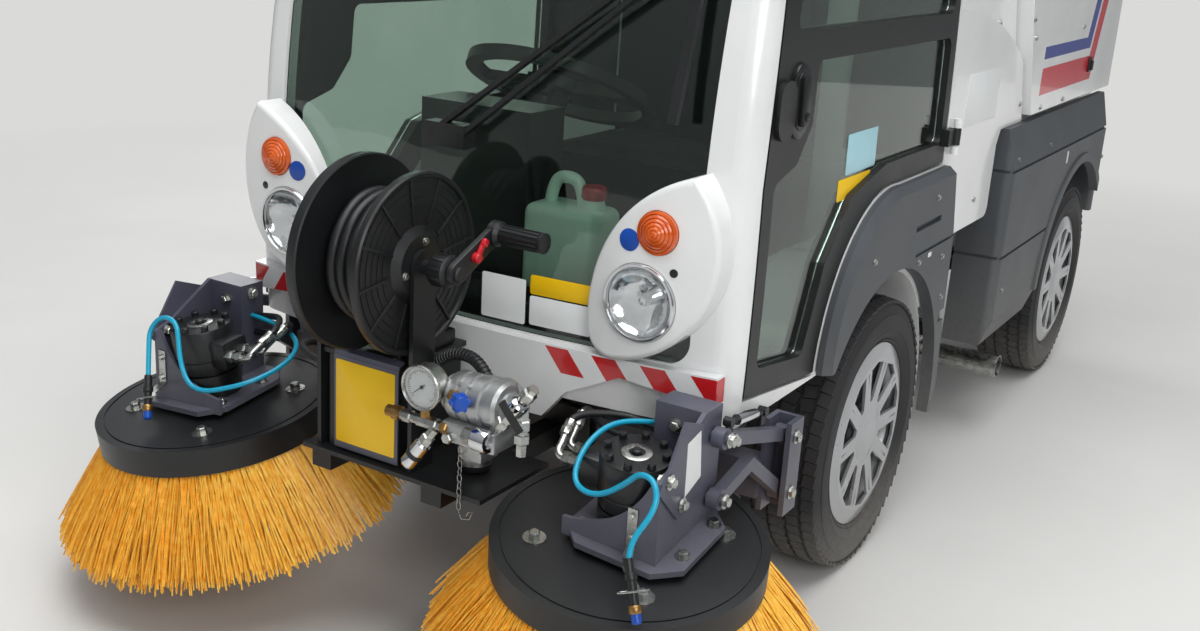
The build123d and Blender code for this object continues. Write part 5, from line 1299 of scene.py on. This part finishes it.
def cabinetPieces():
    # Lid and front plate of the cabinet, with its unions, hoses, filter and cock
    front, left, up = Vector((0, -1, 0)), Vector((1, 0, 0)), Vector((0, 0, 1))
    bm = bmesh.new()
    brokenBlock(bm, *path(cabinet["lid"]), edge=0.0022)
    brokenBlock(bm, *path(cabinet["lidBox"]), edge=0.006)
    settle("cabinetLid", bm, "chassis", "black_paint")
    fasten("cabinetBolts", "chassis", [(spot, up) for spot in path(cabinet["lidBolts"])],
           Radius=0.0055, Height=0.004, Washer=0.008, Thick=0.001)
    bm = bmesh.new()
    flat = facing(at(-0.020, -0.9325, 0.485), front)
    brokenBlock(bm, *path(cabinet["plate"]), edge=0.0012)
    strap(bm, path(cabinet["plateTab"]), Vector((0.070, 0, 0)), 0.003)
    settle("frontPlate", bm, "chassis", "grey_steel")
    bm = bmesh.new()
    platePrism(bm, roundOutline(*cabinet["blank"]), 0.0012, flat @ Matrix.Translation((0.0, 0.0, 0.0014)),
               0.0003)
    settle("yellowBlank", bm, "chassis", "white_paint", mats["yellowPlate"])
    brass, hose = bmesh.new(), bmesh.new()
    for height in cabinet["unionHeights"]:
        place = facing(at(-0.112, -0.897, height), -left)
        turned(brass, cabinet["union"], place, steps=18)
        for i in range(18):
            brokenBlock(brass, (0.0155, -0.0009, 0.010), (0.0174, 0.0009, 0.026),
                        spun(place, 20 * i), 0.0004)
    pipe(hose, path(cabinet["hose"]), 0.013, sides=4)
    settle("cabinetUnions", brass, "chassis", "steel", mats["brass"], sharp=30)
    settle("cabinetHose", hose, "chassis", "hose_rubber", sharp=60)
    bm = bmesh.new()
    ribbedHose(bm, path(cabinet["feed"]), 0.021, 0.0075)
    settle("ribbedFeed", bm, "chassis", "hose_rubber", sharp=30)
    # Filter bowl with its band, cap and bolt, beside the cabinet
    stand = Matrix.Translation(at(*cabinet["filter"]))
    settle("filterBowl", turnedShape(cabinet["filterBowl"], stand, 36), "chassis", "cast_black",
           replaces=("pump_filter",))
    settle("filterBand", turnedShape(cabinet["filterBand"], stand, 36), "chassis", "steel")
    settle("filterCap", turnedShape(cabinet["filterCap"], stand, 36), "chassis", "cast_black")
    fasten("filterBolt", "chassis", [(stand @ Vector((0, 0, 0.0818)), up)], Radius=0.008, Height=0.007,
           Washer=0.011, Thick=0.0015)
    # An orange-handled cock on the cabinet's side
    bm = bmesh.new()
    strap(bm, path(cabinet["cockHandle"]), Vector((0.0055, 0.003, 0)), 0.0045)
    settle("cockHandle", bm, "chassis", "black_plastic", mats["orangePaint"])
    body = turnedShape(cabinet["cock"], facing(at(*cabinet["cockPlace"]), -left), 12)
    settle("cockBody", body, "chassis", "steel", mats["brass"])


cabinetPieces()


def chainTree():
    # Oval links on a row of points, every second one turned by a quarter
    tree, enter = geometryTree("chain", Long=0.0145, Wide=0.0085, Wire=0.0009)
    size = enter.outputs
    half = addNode(tree, "ShaderNodeMath", {1: 0.5}, {0: size["Long"]}, operation="MULTIPLY")
    slim = addNode(tree, "ShaderNodeMath", links={0: size["Wide"], 1: size["Long"]}, operation="DIVIDE")
    loop = addNode(tree, "GeometryNodeCurvePrimitiveCircle", {"Resolution": 14}, {"Radius": half})
    scale = addNode(tree, "ShaderNodeCombineXYZ", {"Y": 1.0, "Z": 1.0}, {"X": slim})
    oval = addNode(tree, "GeometryNodeTransform", {"Rotation": (math.pi / 2, 0, 0)},
                   {"Geometry": loop, "Scale": scale})
    section = addNode(tree, "GeometryNodeCurvePrimitiveCircle", {"Resolution": 6},
                      {"Radius": size["Wire"]})
    link = addNode(tree, "GeometryNodeCurveToMesh", links={"Curve": oval, "Profile Curve": section})
    index = addNode(tree, "GeometryNodeInputIndex").outputs[0]
    quarter = addNode(tree, "ShaderNodeMath", {1: math.pi / 2}, {0: index}, operation="MULTIPLY")
    turn = addNode(tree, "ShaderNodeCombineXYZ", links={"Z": quarter})
    stood = addNode(tree, "GeometryNodeInstanceOnPoints",
                    links={"Points": size["Geometry"], "Instance": link, "Rotation": turn})
    closeTree(tree, enter, stood.outputs["Instances"])
    return tree


clipBends = ((0, 0), (0.006, -0.012), (0.022, -0.008), (0.028, 0.006), (0.020, 0.004), (0.016, -0.004))


def keeperChain():
    # The chain that keeps the coupling's cap, hung beside the filter, with its clip at the end
    spots = [(at(0.1905 + 0.0004 * i, -0.945 - 0.0006 * i, 0.470 - 0.0118 * i), (0, 0, 1)) for i in range(9)]
    mesh = grow(chainTree(), pointMesh(spots), mats["steel"])
    settle("keeperChain", mesh, "chassis", "steel", sharp=60)
    bm = bmesh.new()
    pipe(bm, [at(0.194 + x, -0.950, 0.366 + up) for x, up in clipBends], 0.0018, straight=True)
    settle("chainClip", bm, "chassis", "steel")


keeperChain()
print("pump group ready")


def touch(node, place, way):
    # Where a line from a place meets a node, and the way that its surface faces there
    tree = BVHTree.FromObject(nodes[node], bpy.context.evaluated_depsgraph_get())
    hit, normal = tree.ray_cast(place, Vector(way))[:2]
    if hit is None:
        print("no surface of", node, "beside", place)
        return Vector(place), -Vector(way)
    return hit, normal if normal.dot(Vector(way)) < 0 else -normal


fromFront, fromLeft = (0, 1, 0), (-1, 0, 0)
blanks = {  # by piece: node, body, place and the way to it, on both sides, size, thickness, corner, colour
    "blueBlanks": ("headlamp_pods", "chassis", (0.357, -0.80, 0.810), fromFront, True, (0.037, 0.037),
                   0.0009, 0.0184, "bluePlastic"),
    "lampPlugs": ("headlamp_pods", "chassis", (0.440, -0.80, 0.770), fromFront, True, (0.014, 0.014), 0.0012,
                  0.0069, "black_plastic"),
    "fenderBlanks": ("front_fenders", "chassis", (0.62, 0.206, 0.641), fromLeft, True, (0.020, 0.010),
                     0.0008, 0.0015, "whitePlate"),
    "skirtBlanks": ("rear_skirts", "chassis", (0.64, 1.388, 0.700), fromLeft, True, (0.014, 0.034), 0.0008,
                    0.0015, "whitePlate"),
    "panelBlanks": ("engine_cover", "chassis", (0.60, 0.575, 0.940), fromLeft, True, (0.250, 0.118), 0.0007,
                    0.003, "whitePlate"),
    "glassBlanksBlue": ("door_glass_left", "door_left", (0.60, -0.165, 0.905), fromLeft, False,
                        (0.150, 0.075), 0.0006, 0.004, "paleBlank"),
    "glassBlanksYellow": ("door_glass_left", "door_left", (0.60, -0.190, 0.842), fromLeft, False,
                          (0.160, 0.040), 0.0006, 0.004, "yellowPlate"),
    "screenBlanksWhite": ("cab_glass", "chassis", (0.100, -0.90, 0.655), fromFront, False, (0.090, 0.080),
                          0.0006, 0.004, "whitePlate"),
    "screenBlanksYellow": ("cab_glass", "chassis", (0.213, -0.90, 0.690), fromFront, False, (0.118, 0.034),
                           0.0006, 0.004, "yellowPlate"),
    "screenBlanksLow": ("cab_glass", "chassis", (0.213, -0.90, 0.644), fromFront, False, (0.118, 0.052),
                        0.0006, 0.004, "whitePlate"),
}
for name, (node, body, spot, way, both, size, thick, corner, colour) in blanks.items():
    bm = bmesh.new()
    for side in (1, -1) if both else (1,):
        hit, normal = touch(node, at(side * spot[0], *spot[1:]), (side * way[0], way[1], 0))
        level = Vector((0, 0, 1)).cross(normal).normalized()
        place = framed(hit + normal * thick, level, normal.cross(level), normal)
        platePrism(bm, roundOutline(*size, corner), thick * 1.6, place, min(0.0003, thick / 4))
    settle(name, bm, body, "white_paint", mats[colour])


bodyScrews = {  # by piece, with the node under it and its body: (behind, height) from the front axle
    "fenderScrews": ("front_fenders", "chassis", ((-0.139, 0.692), (0.215, 0.764), (0.137, 0.637),
                                                  (0.298, 0.620), (0.330, 0.520))),
    "binScrews": ("hopper", "hopper", ((0.860, 1.104), (0.901, 1.058), (1.421, 1.062), (1.053, 0.872),
                                       (1.293, 0.872), (1.060, 1.420), (1.060, 1.680), (1.500, 1.730))),
    "coverScrews": ("engine_cover", "chassis", ((0.700, 1.100), (0.920, 0.890), (0.420, 0.700),
                                                (0.620, 0.690), (0.380, 1.220))),
    "skirtScrews": ("rear_skirts", "chassis", ((0.860, 0.760), (1.180, 0.760), (0.860, 0.420),
                                               (1.880, 0.640))),
}
outside = 0.64  # from here a line inwards meets a side panel first
for name, (node, body, places) in bodyScrews.items():
    spots = []
    for behind, height in places:
        for side, word in sides:
            hit, normal = touch(node, at(side * outside, behind, height), (-side, 0, 0))
            spots.append((hit + normal * 0.0002, normal))
    fasten(name, body, spots, Sides=12, Radius=0.0052, Height=0.0036, Washer=0.0072, Thick=0.0009)

catch = bmesh.new()
for side in (1, -1):
    hit, normal = touch("hopper", at(side * outside, 1.563, 0.948), (-side, 0, 0))
    stand = facing(hit, normal)
    brokenBlock(catch, (-0.014, -0.022, -0.001), (0.014, 0.022, 0.006), stand, 0.003)
    brokenBlock(catch, (-0.006, -0.016, 0.005), (0.006, 0.012, 0.013), stand, 0.002)
settle("binCatches", catch, "hopper", "black_plastic")


doorPull = {
    "outside": 0.70,
    "place": (-0.515, 1.030),
    "lock": mm((0, 16), (7.5, 16), (7.5, 19), (6, 20), (0, 20)),
}


def doorTrim(side, word):
    # An oval pull plate, with its lever and a round lock
    door = "door_" + word
    hit, normal = touch(door, at(side * doorPull["outside"], *doorPull["place"]), (-side, 0, 0))
    along = Vector((0, 1, 0))
    upward = normal.cross(along).normalized()
    if upward.z < 0:
        along, upward = -along, -upward
    flat = framed(hit, along, upward, normal)
    bm = bmesh.new()
    platePrism(bm, arc(0.042, 0.062), 0.012, flat @ Matrix.Translation((0, 0, 0.006)), 0.003)
    settle("doorPull_" + word, bm, door, "black_plastic", mats["mirror_black"])
    bm = bmesh.new()
    platePrism(bm, arc(0.030, 0.048), 0.002, flat @ Matrix.Translation((0, 0, 0.0075)), 0.0008)
    brokenBlock(bm, (-0.011, -0.040, 0.006), (0.011, 0.040, 0.017), flat, 0.004)
    turned(bm, doorPull["lock"], flat @ Matrix.Translation((0.0, -0.024, 0.0)), steps=20)
    settle("doorLever_" + word, bm, door, "black_plastic")


for side, word in sides:
    doorTrim(side, word)
print("doors, plates and screws ready")


tank = {
    "bridge": ((0.030, 0.145), (0.034, 0.196), (0.070, 0.206), (0.096, 0.190), (0.100, 0.145)),
    "neckInset": 0.034,
    "teeth": 20,
    "handle": 0.022,
    "neck": mm((0, 150), (24, 150), (20, 166), (16, 176), (0, 176)),
    "cap": mm((0, 172), (20, 172), (21, 174), (21, 192), (19, 195), (0, 195)),
}


def tankPieces():
    # Blow-moulded canister with a bridge handle and a red cap, standing on the ledge
    low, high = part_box("fluid_tank")
    bm = bmesh.new()
    x0, x1, y0, y1, z0 = low.x, high.x, low.y, high.y, low.z
    brokenBlock(bm, (x0 + 0.002, y0 + 0.002, z0), (x1 - 0.002, y1 - 0.002, z0 + 0.156), edge=0.018, rounds=5)
    middle = (y0 + y1) / 2
    pipe(bm, [Vector((x0 + along, middle, z0 + up)) for along, up in tank["bridge"]], tank["handle"], sides=6)
    neck = Matrix.Translation((x1 - tank["neckInset"], middle, z0))
    turned(bm, tank["neck"], neck, steps=28)
    settle("canister", bm, "chassis", "milky_tank", replaces=("fluid_tank",), sharp=60)
    bm = bmesh.new()
    turned(bm, tank["cap"], neck, steps=28)
    for i in range(tank["teeth"]):
        turn = spun(neck, 360 * i / tank["teeth"])
        brokenBlock(bm, (0.0200, -0.0012, 0.175), (0.0220, 0.0012, 0.191), turn, 0.0005)
    settle("canisterCap", bm, "chassis", "milky_tank", mats["redPlastic"])


tankPieces()


beacon = {
    "ribs": 9,
    "lean": 0.55,
    "inset": 0.007,
}


def beaconPieces():
    # Warning lamp: a black foot and a ribbed amber dome
    low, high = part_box("beacon")
    place = Matrix.Translation(((low.x + high.x) / 2, (low.y + high.y) / 2, low.z))
    tall, wide = high.z - low.z, (high.x - low.x) / 2
    foot = [(0, 0), (wide, 0), (wide, 0.012), (wide - 0.004, 0.018), (0, 0.018)]
    settle("beaconFoot", turnedShape(foot, place, 48), "chassis", "black_plastic", replaces=("beacon",))
    bm = bmesh.new()
    profile = [(0, 0.017), (wide - 0.006, 0.017)]
    for i in range(beacon["ribs"]):
        z = 0.020 + i * (tall - 0.034) / beacon["ribs"]
        r = (wide - beacon["inset"]) * math.cos(beacon["lean"] * (i / beacon["ribs"]) ** 2)
        profile += [(r, z), (r - 0.0018, z + 0.0030), (r, z + 0.0052)]
    profile += [(wide * 0.72, tall - 0.006), (wide * 0.45, tall - 0.001), (0, tall)]
    turned(bm, profile, place, steps=48)
    settle("beaconDome", bm, "chassis", "amber_lens", sharp=40)


beaconPieces()


mirror = {
    "x": 0.665,
    "pane": (0.118, 0.262, 0.016),
    "proud": 0.0012,
    "thick": 0.002,
}


def mirrorGlass():
    # Silvered panes in the mirror heads, towards the driver
    low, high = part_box("mirrors")
    bm = bmesh.new()
    for side in (1, -1):
        hit, normal = touch("mirrors", Vector((side * mirror["x"], high.y + 0.4, (low.z + high.z) / 2)),
                            (0, -1, 0))
        place = Matrix.Translation(hit + Vector((0, mirror["proud"],
                                                 0))) @ Matrix.Rotation(math.radians(-90), 4, "X")
        platePrism(bm, roundOutline(*mirror["pane"]), mirror["thick"], place, 0.0004)
    settle("mirrorPanes", bm, "chassis", "mirror_black", mats["mirrorSilver"])


mirrorGlass()


tailLamp = {
    "red": (0.400, 0.502),
    "amber": (0.356, 0.396),
    "clear": (0.326, 0.352),
    "pitch": 0.0085,
    "rib": 0.0014,
}


def rearLamps():
    # Ribbed lenses over each tail lamp's plate: red, amber and clear
    low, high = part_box("tail_lamps")
    red, amber, clear = bmesh.new(), bmesh.new(), bmesh.new()
    for side in (1, -1):
        for bm, colour in ((red, "red"), (amber, "amber"), (clear, "clear")):
            x0, x1 = sorted(side * end for end in tailLamp[colour])
            brokenBlock(bm, (x0, high.y - 0.014, low.z + 0.008), (x1, high.y - 0.003, high.z - 0.008), None,
                        0.003)
            count = int((x1 - x0) / tailLamp["pitch"])
            for i in range(count):
                x = x0 + 0.006 + i * (x1 - x0 - 0.012) / max(count - 1, 1)
                brokenBlock(bm, (x - tailLamp["rib"], high.y - 0.006, low.z + 0.012),
                            (x + tailLamp["rib"], high.y - 0.0006, high.z - 0.012), edge=0.0006)
    settle("tailLensRed", red, "chassis", "red_lens", replaces=("tail_lamps",))
    settle("tailLensAmber", amber, "chassis", "amber_lens")
    settle("tailLensClear", clear, "chassis", "tinted_glass", mats["clear_lens"])


rearLamps()


hatch = {
    "ribs": (-0.34, -0.17, 0.0, 0.17, 0.34),
    "ribHalf": 0.022,
    "latch": 0.43,
    "latchHalf": 0.018,
    "grab": 0.150,
    "bar": 0.012,
}


def hatchTrim():
    # Pressed ribs, a grab bar and its two latches on the tailgate
    low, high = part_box("hopper_hatch")
    bm = bmesh.new()
    for x in hatch["ribs"]:
        brokenBlock(bm, (x - hatch["ribHalf"], high.y - 0.016, low.z + 0.130),
                    (x + hatch["ribHalf"], high.y - 0.0045, high.z - 0.130), edge=0.004)
    settle("hatchRibs", bm, "hatch", "white_paint")
    bm = bmesh.new()
    grab = [(-hatch["grab"], 0.012, 0.090), (-hatch["grab"], 0.003, 0.072), (hatch["grab"], 0.003, 0.072),
            (hatch["grab"], 0.012, 0.090)]
    pipe(bm, [Vector((x, high.y - sunk, low.z + height)) for x, sunk, height in grab], hatch["bar"], sides=5)
    for side in (1, -1):
        x = side * hatch["latch"]
        brokenBlock(bm, (x - hatch["latchHalf"], high.y - 0.016, low.z + 0.040),
                    (x + hatch["latchHalf"], high.y - 0.002, low.z + 0.110), edge=0.004)
    settle("hatchGrab", bm, "hatch", "black_plastic")


hatchTrim()

cushion = {  # its block before it swells, and the sewn channels in its top
    "wide": 0.44, "deep": 0.31, "thick": 0.105, "top": 0.800, "ahead": 0.052, "sunk": 0.008, "edge": 0.022,
    "voxel": 0.0096, "pressure": 4.0, "frames": 20, "cap": 0.014,
    "channels": (-0.090, 0.0, 0.090), "channelWide": 0.016, "channelDeep": 0.006,
}


def seatCushion():
    # A foam pad under woven cloth on the seat box, crowned by its own pressure
    low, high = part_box("seat")
    bm = bmesh.new()
    middle = Vector((0, (low.y + high.y) / 2 - cushion["ahead"],
                     cushion["top"] - cushion["thick"] / 2 + cushion["sunk"]))
    half = Vector((cushion["wide"], cushion["deep"], cushion["thick"])) / 2
    brokenBlock(bm, middle - half, middle + half, edge=cushion["edge"], rounds=3)
    mesh = bpy.data.meshes.new("seatPad")
    bm.to_mesh(mesh)
    bm.free()
    pad = bpy.data.objects.new("seatPad", mesh)
    scene.collection.objects.link(pad)
    remesh = pad.modifiers.new("skin", "REMESH")
    remesh.mode = "VOXEL"
    remesh.voxel_size = cushion["voxel"]
    skin = shaped(pad)
    pad.modifiers.remove(remesh)
    pad.data = skin
    start = [v.co.copy() for v in skin.vertices]
    cloth = pad.modifiers.new("puff", "CLOTH")
    cloth.settings.use_pressure = True
    cloth.settings.uniform_pressure_force = cushion["pressure"]
    cloth.settings.effector_weights.gravity = 0
    cloth.point_cache.frame_start, cloth.point_cache.frame_end = 1, cushion["frames"]
    for step in range(1, cushion["frames"] + 1):
        scene.frame_set(step)
    puffed = shaped(pad)
    pad.modifiers.remove(cloth)
    pad.data = puffed
    for vertex, home in zip(puffed.vertices, start):
        shift = vertex.co - home
        if shift.length > cushion["cap"]:
            vertex.co = home + shift.normalized() * cushion["cap"]
    scene.frame_set(1)
    # Three sewn channels across the pad
    for vertex in pad.data.vertices:
        if vertex.co.z > middle.z:
            for channel in cushion["channels"]:
                reach = abs(vertex.co.y - middle.y - channel) / cushion["channelWide"]
                vertex.co.z -= cushion["channelDeep"] * math.exp(-reach * reach)
    pad.data.materials.clear()
    pad.data.materials.append(mats["seat_cloth"])
    pad.data.shade_smooth()
    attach(pad, "chassis")


seatCushion()
print("seat, tank, lamps and tailgate ready")


scene.view_settings.view_transform = "Standard"


paperTone = "#dadad8"
floorSizes = {"half": 9.0, "near": 2.2, "far": 5.0}


def addFloor():
    # A plain pale sheet under everything, near the backdrop's tone
    mesh = bpy.data.meshes.new("floor")
    half = floorSizes["half"]
    mesh.from_pydata([(-half, -half, 0), (half, -half, 0), (half, half, 0), (-half, half, 0)], [],
                     [(0, 1, 2, 3)])
    floor = bpy.data.objects.new("floor", mesh)
    scene.collection.objects.link(floor)
    material, tree, bsdf, spot = newMaterial("studioFloor", Roughness=0.8)
    cloud = addNode(tree, "ShaderNodeTexNoise", {"Scale": 1.2, "Detail": 6.0}, {"Vector": spot})
    tint = addNode(tree, "ShaderNodeValToRGB", links={"Fac": cloud.outputs["Fac"]},
                   stops=[(0.35, "#d6d5d2"), (0.65, "#dcdbd8")])
    tree.links.new(tint.outputs["Color"], bsdf.inputs["Base Color"])
    # Far from the machine the sheet runs into the backdrop's paper tone
    span = addNode(tree, "ShaderNodeVectorMath", links={0: spot}, operation="LENGTH")
    far = addNode(tree, "ShaderNodeMapRange", {"From Min": floorSizes["near"], "From Max": floorSizes["far"]},
                  {"Value": span.outputs["Value"]})
    paper = addNode(tree, "ShaderNodeEmission", {"Color": linear(paperTone), "Strength": 1.0})
    both = addNode(tree, "ShaderNodeMixShader", links={0: far.outputs["Result"], 1: bsdf, 2: paper})
    tree.links.new(both.outputs[0], tree.nodes["Material Output"].inputs["Surface"])
    mesh.materials.append(material)


addFloor()


def addWorld():
    world = bpy.data.worlds.new("studio")
    scene.world = world
    world.use_nodes = True
    tree = world.node_tree
    glow = tree.nodes["Background"]
    way = addNode(tree, "ShaderNodeTexCoord").outputs["Generated"]
    height = addNode(tree, "ShaderNodeSeparateXYZ", links={"Vector": way}).outputs["Z"]
    soft = addNode(tree, "ShaderNodeValToRGB", links={"Fac": height},
                   stops=[(0.0, "#8f9194"), (0.45, "#c4c7cb"), (1.0, "#f2f4f6")])
    tree.links.new(soft.outputs["Color"], glow.inputs["Color"])
    glow.inputs["Strength"].default_value = 0.6
    paper = addNode(tree, "ShaderNodeBackground", {"Color": linear(paperTone), "Strength": 1.0})
    ray = addNode(tree, "ShaderNodeLightPath")
    seen = addNode(tree, "ShaderNodeMath", links={0: ray.outputs["Is Camera Ray"],
                                                  1: ray.outputs["Is Transmission Ray"]}, operation="ADD",
                   use_clamp=True)
    both = addNode(tree, "ShaderNodeMixShader", links={0: seen, 1: glow, 2: paper})
    tree.links.new(both.outputs[0], tree.nodes["World Output"].inputs["Surface"])


addWorld()

lights = [  # name, place from the front axle, size, watts
    ("overhead", (0.6, -0.6, 4.6), 4.5, 190),
    ("frontLeft", (3.6, -3.4, 2.6), 2.6, 75),
    ("rearRight", (-3.8, 3.2, 2.8), 2.6, 60),
]
for name, place, size, watts in lights:
    data = bpy.data.lights.new(name, "AREA")
    data.energy = watts
    data.shape = "DISK"
    data.size = size
    lamp = bpy.data.objects.new(name, data)
    lamp.location = at(*place)
    lamp.rotation_euler = (at(0, 0.6, 0.7) - lamp.location).to_track_quat("-Z", "Y").to_euler()
    scene.collection.objects.link(lamp)
print("camera and lamps ready")
